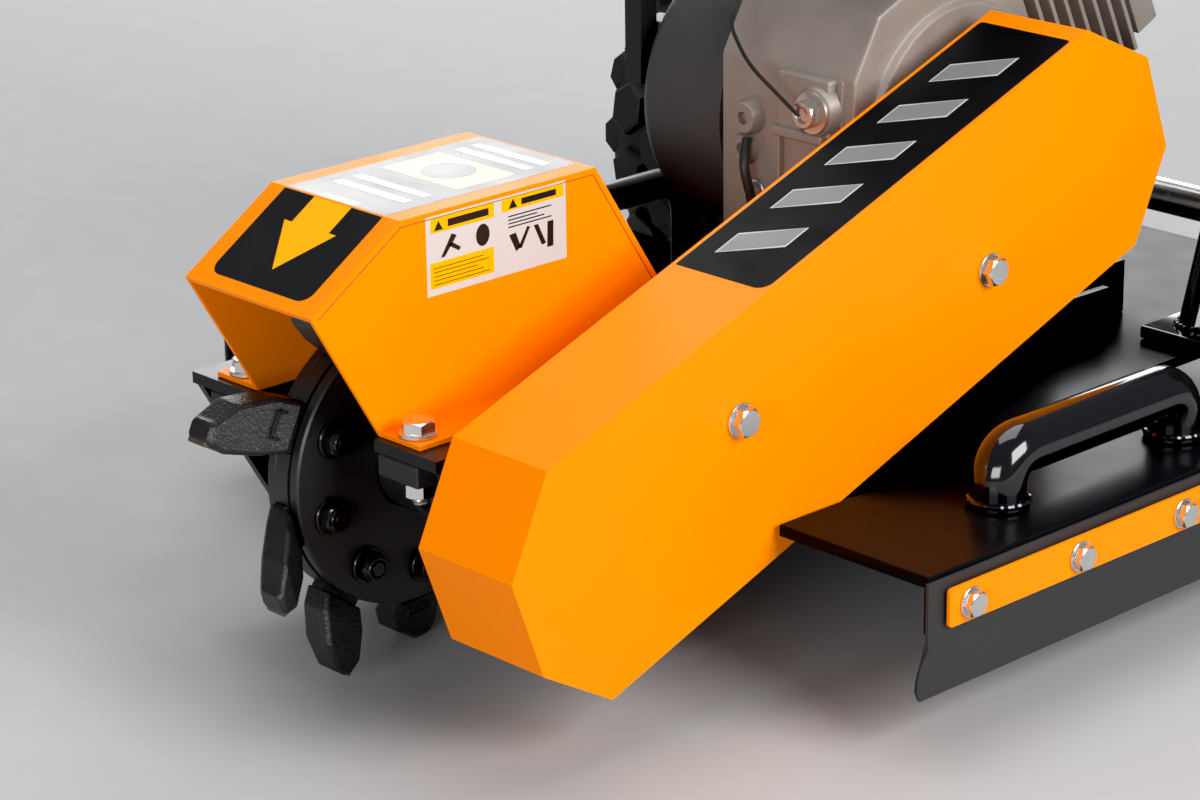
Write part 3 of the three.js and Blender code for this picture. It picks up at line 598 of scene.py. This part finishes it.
slope = Vector((0, HOOD_FOLD[0] - HOOD_NOSE[0], HOOD_FOLD[1] - HOOD_NOSE[1]))
NOSE_PLANE = ((0, *HOOD_NOSE), (1, 0, 0), slope)
TOP_PLANE = ((0, *HOOD_FOLD), (1, 0, 0), (0, 1, 0))
SLOPE_LENGTH = slope.length
ARROW_HALF = 17.5
arrow = [
    (-ARROW_HALF, SLOPE_LENGTH - 1), (-ARROW_HALF, 60.4), (-24.5, 60.4), (0, 24.2),
    (24.5, 60.4), (ARROW_HALF, 60.4), (ARROW_HALF, SLOPE_LENGTH - 1),
]
top_length = HOOD_REAR_FOLD[0] - HOOD_FOLD[0]
panel = rounded(-46.3, 46.3, 9.2, SLOPE_LENGTH - 0.9, (9, 9, 0, 0))
top_panel = rounded(-46.3, 46.3, 0.9, top_length - 2, (0, 0, 5, 5))
piece("hood_front_decal", [sticker(panel, *NOSE_PLANE)], decal_black)
piece("hood_arrow_decal", [sticker(arrow, *NOSE_PLANE, 0.1)], decal_yellow)
piece("hood_top_decal", [sticker(top_panel, *TOP_PLANE)], decal_black)
top_marks = [
    sticker(rounded(-ARROW_HALF, ARROW_HALF, 0.9, 8, (0, 0, 1, 1)), *TOP_PLANE, 0.1),
    sticker(rounded(-36, 36, 68, 116, (3, 3, 3, 3)), *TOP_PLANE, 0.1),
]
piece("hood_top_marks", top_marks, decal_cream)
piece("hood_top_disc", [sticker([(18 * math.cos(a), 92 + 18 * math.sin(a)) for a in np.linspace(0, 6.2, 40)],
                                *TOP_PLANE, 0.2)], decal_black)
top_bars = [
    sticker(rounded(-34, 34, y, y + 8, (2, 2, 2, 2)), *TOP_PLANE, 0.1) for y in (26, 42, 126, 140)
]
piece("hood_top_bars", top_bars, decal_white)

# the double plate on the hood's side: plain blocks and lines
LABEL_PLANE = ((HOOD_HALF, 0, 0), (0, 1, 0), (0, 0, 1))


def bands(*boxes, lift=0.1):
    return [sticker(rounded(y0, y1, z0, z1, (0.3,) * 4, 2), *LABEL_PLANE, lift) for y0, y1, z0, z1 in boxes]


piece("side_label_plate", bands((-23.5, 91.2, 122.6, 172.8), lift=0.0), decal_white)
label_bands = bands((-19.8, 31.6, 161.8, 171), (-20.8, 30.6, 127, 143.2), (37.8, 89.2, 163, 171.5))
piece("side_label_bands", label_bands, decal_yellow)
label_bars = bands((-6, 27, 164, 168.6), (54, 83, 165, 169), lift=0.2)
label_bars += [sticker([(y - 3.6, z - 2.8), (y + 3.6, z - 2.8), (y, z + 3.2)], *LABEL_PLANE, 0.2)
               for y, z in ((-13.5, 166), (47, 167))]
label_bars += [
    sticker(outline, *LABEL_PLANE, 0.1) for outline in (
        [(22 + 5.5 * math.cos(a), 152.5 + 7 * math.sin(a)) for a in np.linspace(0, 6.1, 24)],
        [(-12, 145.5), (-9, 145.5), (1, 157), (-3, 159)],
        [(-6, 152), (-3, 153.5), (4, 149), (2.5, 147)],
        [(43.5, 147.5), (49, 148), (53, 138), (49, 136)],
        [(51, 138), (53.5, 137), (61, 149.5), (58.5, 150)],
        [(64, 149.5), (67.5, 149.5), (74, 136), (70.5, 135.5)],
        [(75, 133), (80, 133), (80.5, 149.5), (75.5, 149.5)],
    )
]
piece("side_label_marks", label_bars, decal_black)
label_lines = bands(*[(-18.5, 27 - 5 * (k % 3), 129 + 2.6 * k, 129.5 + 2.6 * k) for k in range(5)], lift=0.2)
label_lines += bands(*[(43, 79 - 6 * (k % 3), 152 + 2.3 * k, 152.8 + 2.3 * k) for k in range(4)], lift=0.1)
piece("side_label_lines", label_lines, decal_black)

# ---- bearings and the hood's bolts ----
def bearing_block():
    """A pillow block hung upside down: pads under the bolts, ribs and a round housing."""
    foot = [(-70, 21.5), (-70, 36), (70, 36), (70, 21.5), (46, 20), (30, 22), (-30, 22), (-46, 20)]
    shapes = [
        bevelled(prism(foot, BEARING_X - 18.5, BEARING_X + 18.5), 1.8, 3),
        on_x(lathe([
            (BEARING_X - 17, 22), (BEARING_X - 17, 31), (BEARING_X - 12, 34.6), (BEARING_X + 12, 34.6),
            (BEARING_X + 17, 31), (BEARING_X + 17, 22),
        ], 64, closed=True)),
    ]
    for y in (-BEARING_BOLT_Y, BEARING_BOLT_Y):
        shapes.append(moved(cylinder(15, 19.5, 23, 1.2), BEARING_X, y, 0))
    return merge(*shapes)


def bearing_insert():
    return merge(
        on_x(ring(13, 22.5, BEARING_X - 12, BEARING_X + 12, 1)),
        on_x(ring(13, 18, BEARING_X - 20, BEARING_X + 20, 1)),
    )


for name, side in SIDES:
    node = f"{name}_bearing_block"
    piece(f"{node}_look", [on_side(bearing_block(), side)], iron, stands_for=[node])
    piece(f"{name}_bearing_insert", [on_side(bearing_insert(), side)], machined)
    for end, y in (("front", -BEARING_BOLT_Y), ("rear", BEARING_BOLT_Y)):
        bottom, top = span(f"{name}_{end}_hood_bolt")
        seat = FLANGE_UNDERSIDE + 3.3
        upper = moved(bolt_head(11, top[2] - seat - 2.5, 12, 2.5), BEARING_X * side, y, seat)
        lower = merge(ring(6.5, 12, 0, 2.4, 0.5, 40), moved(hexagon(11, 10, 6), z=2.2), thread(6, 10, 17))
        shapes = [
            upper,
            aimed(lower, (BEARING_X * side, y, 21.2), (0, 0, -1)),
            moved(cylinder(6, 18, 49, 0.5, 24), BEARING_X * side, y, 0),
        ]
        node = f"{name}_{end}_hood_bolt"
        piece(f"{node}_look", shapes, zinc, stands_for=[node])


# ---- belt guard ----
def guard_point(along, across):
    c, s = math.cos(GUARD_TILT), math.sin(GUARD_TILT)
    return GUARD_CENTRE[0] + along * c - across * s, GUARD_CENTRE[1] + along * s + across * c


piece("belt_guard_look", [refined("belt_guard", 1.2, 3)], orange, stands_for=["belt_guard"])
refined_piece("guard_back_plate", orange)
corner = GUARD_HALF * math.tan(math.pi / 8)
guard_edge = [guard_point(*p) for p in (
    (GUARD_LENGTH + corner, GUARD_HALF), (-corner, GUARD_HALF), (-GUARD_HALF, corner), (-GUARD_HALF, -corner),
    (-corner - 8, -GUARD_HALF), (GUARD_LENGTH + corner, -GUARD_HALF),
)]
guard_seam = [(GUARD_FACE - 0.5, y, z) for y, z in inset(guard_edge, 0.7)]
piece("guard_fold_line", [tube(guard_seam, 0.5, 6)], orange_seam)

guard_along = Vector((0, math.cos(GUARD_TILT), math.sin(GUARD_TILT)))
top_start = guard_point(0, GUARD_HALF)
GUARD_TOP = ((0, *top_start), tuple(-guard_along), (1, 0, 0))
STRIPE_START = 159
STRIPE_END = GUARD_LENGTH + 20
stripe = rounded(-STRIPE_END, -STRIPE_START, GUARD_BACK + 3.2, GUARD_FACE - 3, (3, 1, 9, 3))
piece("guard_stripe", [sticker(stripe, *GUARD_TOP)], stripe_black)
BAR_LOW, BAR_HIGH = 146, 184
STRIPE_MARKS = 5


def slanted(start, width, grow):
    """A slanted bar across the stripe, drawn in or out by a margin."""
    lean = 22
    low, high = BAR_LOW - grow, BAR_HIGH + grow
    return [
        (-start - width - grow, low), (-start + grow, low),
        (-start - lean + grow, high), (-start - lean - width - grow, high),
    ]


starts = [180 + 52 * k for k in range(STRIPE_MARKS)]
piece("guard_stripe_outlines", [sticker(slanted(s, 20, 1.2), *GUARD_TOP, 0.1) for s in starts], decal_white)
piece("guard_stripe_bars", [sticker(slanted(s, 20, 0), *GUARD_TOP, 0.2) for s in starts], decal_grey)

for end in ("front", "rear"):
    node = f"guard_{end}_bolt"
    bottom, top = span(node)
    y, z = (bottom[1] + top[1]) / 2, (bottom[2] + top[2]) / 2
    shapes = [
        on_x(bolt_head(9.8, 6.9, 11.2, 2), GUARD_FACE + 0.1, y, z),
        on_x(cylinder(5, bottom[0], GUARD_FACE + 1, 0.5, 24), 0, y, z),
    ]
    piece(f"{node}_look", shapes, zinc, stands_for=[node])

# ---- rails, deck and cross member ----
for node in ("left_side_rail", "right_side_rail", "cross_member", "left_engine_rail", "right_engine_rail",
             "left_axle_bracket", "right_axle_bracket"):
    refined_piece(node, black, width=0.7)
refined_piece("deck_plate", deck_black, width=1.2)


# ---- chip flaps, their strips and bolts ----
STRIP_BOLTS = (155, 257, 359, 461)


def chip_flap():
    """A sheet of rubber whose lower edge curls in a little."""
    low, high = span("left_chip_flap")
    inner, outer = low[0], high[0]
    rows = []
    for k in range(13):
        z = high[2] + (low[2] - high[2]) * k / 12
        front = 122 if z > -70 else 122 - 10 * math.sin(min((-70 - z) / 24, 1) * math.pi / 2)
        if z < -97:
            front += 2.5
        curl = 1.2 * max(0, (-62 - z) / 38) ** 2
        rows.append((z, front, curl))
    rings = []
    thick = outer - inner - 1.3
    outside = [(inner + thick + curl, front, z) for z, front, curl in rows]
    inside = [(inner + curl, front, z) for z, front, curl in rows][::-1]
    for y_share in np.linspace(0, 1, 24):
        section = []
        for x, front, z in outside + inside:
            section.append((x, front + (high[1] - front) * y_share, z))
        rings.append(np.array(section))
    return loft(rings)


for name, side in SIDES:
    node = f"{name}_chip_flap"
    piece(f"{node}_look", [bevelled(on_side(chip_flap(), side), 0.5, 2, 50)], rubber, stands_for=[node])
    node = f"{name}_flap_strip"
    low, high = span(node)
    strip = prism(rounded(low[1], high[1], low[2], high[2], (3,) * 4, 5), low[0], high[0])
    piece(f"{node}_look", [bevelled(strip, 0.6, 2, 40)], orange, stands_for=[node])
    bolts = [on_x(bolt_head(8.6, 5.5, 10, 1.6), DECK_HALF + 7.6, y, -46) for y in STRIP_BOLTS]
    piece(f"{name}_strip_bolts", [on_side(merge(*bolts), side)], zinc)


# ---- hoops on the deck ----
def hoop(node, radius, bend):
    low, high = span(node)
    x = (low[0] + high[0]) / 2
    foot = radius + 2
    y0, y1 = low[1] + foot, high[1] - foot
    top = high[2] - radius
    base = low[2]
    path = rounded_path([(x, y0, base + 1), (x, y0, top), (x, y1, top), (x, y1, base + 1)], bend, 14)
    shapes = [tube(path, radius, 32)]
    for y in (y0, y1):
        shapes.append(moved(cylinder(foot, base, base + 4, 1.2), x, y))
        shapes.append(round_weld((x, y, base + 4.4), radius + 0.8, bead=2))
    return shapes


for name, side in SIDES:
    node = f"{name}_lift_hoop"
    piece(f"{node}_look", hoop(node, 18, 22), gloss_black, stands_for=[node])
piece("right_frame_hoop_look", hoop("right_frame_hoop", 11, 30), black, stands_for=["right_frame_hoop"])


# ---- wheels ----
def tread_block(width, length, height):
    """A chunky six-sided tread block standing on z 0."""
    outline = [
        (-length / 2, 0), (-length / 4, -width / 2), (length / 4, -width / 2),
        (length / 2, 0), (length / 4, width / 2), (-length / 4, width / 2),
    ]
    rings = [
        np.array([(a * s, b * s, h) for a, b in outline])
        for h, s in ((0, 1.06), (height - 1, 0.94), (height, 0.84))
    ]
    return loft(rings)


def wrapped(shape, x, angle, seat):
    """Bends a tread block round the tyre, its length along the tyre's turning."""
    points, faces = shape
    radius = seat + points[:, 2]
    turn = angle + points[:, 0] / seat
    return np.column_stack([x + points[:, 1], radius * np.cos(turn), radius * np.sin(turn)]), faces


CARCASS = 168


def tread():
    blocks = []
    count = 20
    row_width = 30
    for x, shift in ((0, 0.0), (34, 0.5), (-34, 0.5)):
        height = TYRE_RADIUS - 0.3 - CARCASS - (2 if x else 0)
        for k in range(count):
            angle = 2 * math.pi * (k + shift) / count
            blocks.append(wrapped(tread_block(row_width, 42, height), x, angle, CARCASS))
    for side in (-1, 1):
        for k in range(count):
            angle = 2 * math.pi * k / count
            blocks.append(wrapped(tread_block(17, 30, 6), side * 57, angle, CARCASS - 8))
    return merge(*blocks)


def carcass():
    half = TYRE_HALF
    profile = [
        (half - 14, RIM_RADIUS), (half - 7, RIM_RADIUS + 3), (half - 5, RIM_RADIUS + 12), (half - 1, 105),
        (half - 0.5, 128), (half - 3, 145), (half - 9, 158), (half - 18, CARCASS - 3),
        (half - 34, CARCASS), (0, CARCASS + 0.5),
    ]
    profile += [(-x, radius) for x, radius in profile[-2::-1]]
    profile += [(-half + 24, RIM_RADIUS), (-half + 16, 128), (-half + 32, CARCASS - 8),
                (half - 32, CARCASS - 8), (half - 16, 128), (half - 24, RIM_RADIUS)]
    return on_x(lathe(profile, 96, closed=True))


def sidewall_rings():
    rings = []
    for side in (-1, 1):
        for radius in (112, 131):
            shoulder, crest, root = (side * (TYRE_HALF - inner) for inner in (1.7, 0.3, 4))
            profile = [(shoulder, radius - 1.5), (crest, radius), (shoulder, radius + 1.5), (root, radius)]
            rings.append(on_x(lathe(profile, 96, closed=True)))
    return merge(*rings)


def rim_shape():
    half = TYRE_HALF - 12
    barrel = on_x(lathe([
        (-half, 71), (-half, RIM_RADIUS + 3), (-half + 3, RIM_RADIUS + 3), (-half + 4, RIM_RADIUS - 1),
        (-22, RIM_RADIUS - 4), (-16, 60), (16, 60), (22, RIM_RADIUS - 4), (half - 4, RIM_RADIUS - 1),
        (half - 3, RIM_RADIUS + 3), (half, RIM_RADIUS + 3), (half, 71), (half - 8, 70), (20, 68), (12, 56),
        (-12, 56), (-20, 68), (-half + 8, 70),
    ], 96, closed=True))
    dish = [(-4, 24), (-4, 34), (2, 44), (2, 57), (6, 57), (6, 43), (0, 33), (0, 24)]
    hub = [(-35, 14), (-35, 21), (-33, 23), (-10, 25), (10, 25), (33, 23), (35, 21), (35, 14)]
    return merge(barrel, on_x(lathe(dish, 96, closed=True)), on_x(lathe(hub, 64, closed=True)))


def rim_bolts():
    bolts = []
    count = 5
    reach = 46
    for k in range(count):
        a = 2 * math.pi * k / count
        bolts.append(on_x(bolt_head(6.5, 5, 8, 1.2), 6, reach * math.cos(a), reach * math.sin(a)))
    return merge(*bolts)


for name, side in SIDES:
    centre = (WHEEL[0] * side, WHEEL[1], WHEEL[2])
    body = f"{name}_wheel"
    tyre_shapes = [moved(on_side(s, side), *centre) for s in (carcass(), tread(), sidewall_rings())]
    piece(f"{name}_tyre_look", tyre_shapes, tyre_rubber, body, [f"{name}_tyre"])
    rim = moved(on_side(rim_shape(), side), *centre)
    piece(f"{name}_rim_look", [rim], black, body, [f"{name}_rim"])
    piece(f"{name}_rim_bolts", [moved(on_side(rim_bolts(), side), *centre)], zinc, body)
low, high = span("wheel_axle")
axle_shapes = [on_x(cylinder(12.7, low[0], high[0], 1.5), 0, WHEEL[1], WHEEL[2])]
for side in (-1, 1):
    for x in (WHEEL[0] + 40, WHEEL[0] - 40):
        axle_shapes.append(on_x(ring(12.5, 21, side * x - 4, side * x + 4, 1), 0, WHEEL[1], WHEEL[2]))
piece("wheel_axle_look", axle_shapes, zinc, stands_for=["wheel_axle"])


# ---- engine ----
def cylinder_point(along, across):
    c, s = math.cos(CYLINDER_TILT), math.sin(CYLINDER_TILT)
    return CRANK[0] + along * c - across * s, CRANK[1] + along * s + across * c


refined_piece("crankcase", aluminium, width=3)
refined_piece("cylinder", aluminium, width=1)


def toward_front(shape, x, z, y=CASE_FRONT):
    """A shape drawn on +Z, standing out of the crankcase's front face."""
    return aimed(shape, (x, y, z), (0, -1, 0))


case_details = [
    toward_front(lathe([(-2, 13), (8, 11), (9.5, 10), (9.5, 4.5), (4, 4.5), (4, 0)], 48), 7, 161),
    toward_front(lathe([(-2, 12), (5, 10), (6, 9), (6, 4), (2, 4), (2, 0)], 48), 2, 138),
    bevelled(block(36, 84, CASE_FRONT - 7, CASE_FRONT + 4, 159, 199), 2.5, 3),
    bevelled(block(34, 80, CASE_FRONT - 11, CASE_FRONT + 4, 155, 162), 1.8, 3),
    bevelled(block(88, 90.5, CASE_FRONT - 1.5, CASE_FRONT + 4, 34, 199), 0.8),
    bevelled(block(34, 37, CASE_FRONT - 5, CASE_FRONT + 4, 32, 155), 1.2),
    toward_front(lathe([(-2, 19), (8, 17), (10, 15.5), (10, 0)], 48), 72, 177),
]
piece("crankcase_details", case_details, aluminium)
plug = [
    toward_front(ring(7, 15, 9, 12.5, 1), 72, 177),
    toward_front(moved(hexagon(10.5, 8, 5), z=12.5), 72, 177),
    toward_front(merge(ring(2.5, 8, 0, 2), moved(hexagon(6, 5), z=2)), 11, 110),
    toward_front(merge(ring(2.5, 10, 0, 2), moved(hexagon(8, 8), z=2)), 52, 60),
]
piece("crankcase_plugs", plug, machined)
wire_path = rounded_path([(72, 289, 177), (30, 284, 206), (0, 296, 228), (-6, 330, 262)], 14, 8)
piece("plug_wire", [tube(wire_path, 1.3, 10)], plastic)
hose_path = rounded_path([(8, 306, 146), (14, 296, 132), (18, 300, 108), (14, 306, 88)], 9, 8)
piece("breather_hose", [tube(hose_path, 3.4, 14)], rubber)


def shroud_outline(inset_by):
    radius = SHROUD_RADIUS - inset_by
    angles = np.linspace(CYLINDER_TILT + math.pi / 2, CYLINDER_TILT + 1.5 * math.pi, 40)
    bow = [(CRANK[0] + radius * math.cos(a), CRANK[1] + radius * math.sin(a)) for a in angles]
    return bow + [
        cylinder_point(120, -radius + 12), cylinder_point(188 - inset_by, -60 + inset_by),
        cylinder_point(188 - inset_by, 62 - inset_by), cylinder_point(120, radius - 6),
    ]


def fan_shroud():
    """A pressed cover with a soft outer edge, open towards the crankcase."""
    steps = []
    outer_edge = 12
    for k in range(7):
        a = math.pi / 2 * k / 6
        steps.append((SHROUD_RIGHT + outer_edge * (1 - math.sin(a)), outer_edge * (1 - math.cos(a))))
    rings = []
    levels = steps[::-1] + [
        (CASE_RIGHT - 3, 0), (CASE_RIGHT - 3, 3), (SHROUD_RIGHT + 13, 3), (SHROUD_RIGHT + 3, 13),
    ]
    for x, inset_by in levels:
        rings.append(np.array([(x, y, z) for y, z in shroud_outline(inset_by)]))
    return loft(rings)


piece("fan_shroud_look", [fan_shroud()], grey_satin, stands_for=["fan_shroud"], sharp=50)

recoil = [(0, 64), (6, 64), (10, 63), (16, 61), (24, 55), (30, 46), (33, 30), (34, 0)]
recoil_shape = moved(mirrored(on_x(lathe(recoil, 72))), SHROUD_RIGHT - 0.3, *CRANK)
spout = bevelled(block(
    SHROUD_RIGHT - 26, SHROUD_RIGHT - 0.3,
    CRANK[0] - 72, CRANK[0] - 50,
    CRANK[1] + 30, CRANK[1] + 52,
), 2)
piece("recoil_housing_look", [recoil_shape, spout], grey_satin, stands_for=["recoil_housing"])
RECOIL_SLOTS = 18
slots = []
for k in range(RECOIL_SLOTS):
    a = 2 * math.pi * k / RECOIL_SLOTS
    slot_bar = block(-1.5, 1.5, 34, 56, -2, 1.5)
    slot_bar = bevelled(turned(slot_bar, "Z", math.degrees(a)), 0.7)
    slots.append(moved(mirrored(on_x(slot_bar, 24.5)), SHROUD_RIGHT, *CRANK))
piece("recoil_slots", slots, plastic)
refined_piece("recoil_handle", plastic, "starter_handle", width=3)
refined_piece("fuel_tank", gloss_black, width=7)
low, high = span("fuel_tank")
seam_z = (320 + 412) / 2
tank_seam = bevelled(block(low[0], high[0], low[1], high[1], seam_z - 2, seam_z + 2), 1)
piece("fuel_tank_seam", [tank_seam], black)
low, high = span("fuel_cap")
cap_centre = ((low[0] + high[0]) / 2, (low[1] + high[1]) / 2)
CAP_RIDGES = 48
ridges = []
for k in range(CAP_RIDGES):
    a = 2 * math.pi * k / CAP_RIDGES
    radius = 32.6 if k % 2 else 31
    ridges.append((radius * math.cos(a), radius * math.sin(a)))
cap_shape = loft([
    np.array([(x * s, y * s, z) for x, y in ridges])
    for z, s in ((low[2], 1), (low[2] + 16, 1), (high[2] - 2.5, 0.94), (high[2], 0.82))
])
piece("fuel_cap_look", [moved(cap_shape, *cap_centre)], plastic, "cap", ["fuel_cap"])
refined_piece("muffler", exhaust, width=5)
refined_piece("air_filter", plastic, width=6)

# ---- handlebar, grips and controls ----
bar_side = [(176, 590, DECK_TOP + 6), (178, 690, 300), (190, 1240, 720), (214, 1560, 815), (214, *HANDLE)]
bar_path = bar_side + [(-x, y, z) for x, y, z in bar_side[::-1]]
bar_shapes = [tube(rounded_path(bar_path, 60, 10), 16, 28)]
low, high = span("handlebar")
for side in (-1, 1):
    foot = bevelled(block(146, 206, 560, 620, DECK_TOP + 0.3, DECK_TOP + 10), 2)
    lug = bevelled(prism([(1578, 815), (1602, 815), (1598, 862), (1582, 862)], 202, 208), 1.5)
    bar_shapes += [on_side(foot, side), on_side(lug, side)]
    bar_shapes.append(round_weld((176 * side, 592, DECK_TOP + 11), 17.5))
for y, z, half in ((815, 396, 182), (1130, 636, 186)):
    bar_shapes.append(on_x(cylinder(12, -half, half, 1), 0, y, z))
    for side in (-1, 1):
        bar_shapes.append(round_weld((side * (half - 20), y, z), 12.6, "x", 2))
bracket = bevelled(prism([(1380, 750), (1420, 762), (1412, 800), (1388, 800)], -188, -182), 1)
bar_shapes.append(bracket)
throttle_pivot = tuple((np.array(joints["throttle_turn"]["pos_m"]) - SHAFT) * 1000)
bar_shapes.append(on_x(cylinder(4, -190, -176, 0.5, 24), 0, throttle_pivot[1], throttle_pivot[2]))
piece("handlebar_look", bar_shapes, gloss_black, stands_for=["handlebar"])


def ribbed_grip():
    profile = [(50, 16.4), (50, 20.4), (53, 21)]
    x = 56
    while x < 144:
        profile += [(x, 21), (x + 1, 19.6), (x + 3, 19.6), (x + 4, 21)]
        x += 6
    profile += [(147, 21), (150, 20.4), (150, 16.4)]
    return on_x(lathe(profile, 48, closed=True), 0, *HANDLE)


for name, side in SIDES:
    node = f"{name}_grip"
    piece(f"{node}_look", [on_side(ribbed_grip(), side)], rubber, stands_for=[node])
bail_reach, bail_angle, bail_arm = 102, math.radians(46), 192
bail_y = BAIL_PIVOT[0] + bail_reach * math.cos(bail_angle)
bail_z = BAIL_PIVOT[1] + bail_reach * math.sin(bail_angle)
bail_path = [
    (bail_arm + 18, *BAIL_PIVOT), (bail_arm, *BAIL_PIVOT), (bail_arm, bail_y, bail_z),
    (-bail_arm, bail_y, bail_z), (-bail_arm, *BAIL_PIVOT), (-bail_arm - 18, *BAIL_PIVOT),
]
piece("stop_bail_look", [tube(rounded_path(bail_path, 9, 6), 4, 16)], zinc, "bail", ["stop_bail"])
low, high = span("throttle_lever")
knob_profile = [(low[0], 7), (low[0] + 2, 9), (high[0] - 2, 9), (high[0], 7)]
knob = on_x(lathe(knob_profile, 32), 0, throttle_pivot[1], high[2] - 9)
blade_z = throttle_pivot[2]
blade = [
    (1390, blade_z - 10), (1410, blade_z - 10), (1410, blade_z + 8),
    (1405, blade_z + 56), (1395, blade_z + 56), (1390, blade_z + 8),
]
lever_shapes = [bevelled(prism(blade, -181.5, -178), 0.6), knob]
piece("throttle_lever_look", lever_shapes, plastic, "throttle", ["throttle_lever"])

# ---- camera ----
CAMERA_AZIMUTH = math.radians(46.787)
CAMERA_ELEVATION = math.radians(19.573)
CAMERA_ROLL = math.radians(-0.814)
CAMERA_DISTANCE = 2279.1
CAMERA_RIGHT = 127.5
CAMERA_UP = 32.3
CAMERA_LENS = 108.39
back = Vector((
    math.sin(CAMERA_AZIMUTH) * math.cos(CAMERA_ELEVATION),
    -math.cos(CAMERA_AZIMUTH) * math.cos(CAMERA_ELEVATION),
    math.sin(CAMERA_ELEVATION),
))
right = Vector((math.cos(CAMERA_AZIMUTH), math.sin(CAMERA_AZIMUTH), 0))
up = back.cross(right)
camera = bpy.data.objects.new("camera", bpy.data.cameras.new("camera"))
bpy.context.scene.collection.objects.link(camera)
camera.data.lens = CAMERA_LENS
camera.data.sensor_width = 36
camera.data.clip_end = 100
eye = back * CAMERA_DISTANCE + right * CAMERA_RIGHT + up * CAMERA_UP
axes = Matrix((right, up, back)).transposed().to_4x4()
standing = Matrix.Translation(Vector(SHAFT) + eye / 1000)
camera.matrix_world = standing @ axes @ Matrix.Rotation(CAMERA_ROLL, 4, "Z")
bpy.context.scene.camera = camera

# ---- floor and light ----
floor_mesh = bpy.data.meshes.new("floor")
FLOOR_HALF = 40
floor_mesh.from_pydata(
    [(-FLOOR_HALF, -FLOOR_HALF, 0), (FLOOR_HALF, -FLOOR_HALF, 0), (FLOOR_HALF, FLOOR_HALF, 0),
     (-FLOOR_HALF, FLOOR_HALF, 0)], [], [(0, 1, 2, 3)],
)
floor = bpy.data.objects.new("floor", floor_mesh)
floor_mesh.materials.append(finish("pale_floor", (0.42, 0.42, 0.425), 0.8, mottle=0.01, specular=0.1))
bpy.context.scene.collection.objects.link(floor)

world = bpy.data.worlds.new("studio")
bpy.context.scene.world = world
world.use_nodes = True
world.node_tree.nodes["Background"].inputs["Color"].default_value = (0.9, 0.93, 1, 1)
world.node_tree.nodes["Background"].inputs["Strength"].default_value = 0.22

AIM = Vector((0, -0.6, 0.25))


def softbox(name, azimuth, elevation, distance, width, height, power):
    """A soft area light that faces the machine. Angles are in degrees, as the camera's are."""
    a, e = math.radians(azimuth), math.radians(elevation)
    away = Vector((math.sin(a) * math.cos(e), -math.cos(a) * math.cos(e), math.sin(e)))
    lamp = bpy.data.lights.new(name, "AREA")
    lamp.shape = "RECTANGLE"
    lamp.size, lamp.size_y = width, height
    lamp.energy = power
    made = bpy.data.objects.new(name, lamp)
    made.location = AIM + away * distance
    made.rotation_mode = "QUATERNION"
    made.rotation_quaternion = away.to_track_quat("Z", "Y")
    made.visible_camera = False
    bpy.context.scene.collection.objects.link(made)


softbox("key", 96, 26, 3.0, 1.8, 1.4, 98)
softbox("front_fill", 26, 11, 3.2, 1.8, 1.0, 52)
softbox("overhead", 226, 78, 2.6, 2.2, 2.2, 48)
softbox("rear_panel", 227, 20, 3.4, 3.2, 1.3, 68)
view = bpy.context.scene.view_settings
view.view_transform = "Standard"
view.look = "None"
view.use_curve_mapping = True
view.curve_mapping.black_level = (0.006, 0.006, 0.006)
view.curve_mapping.update()
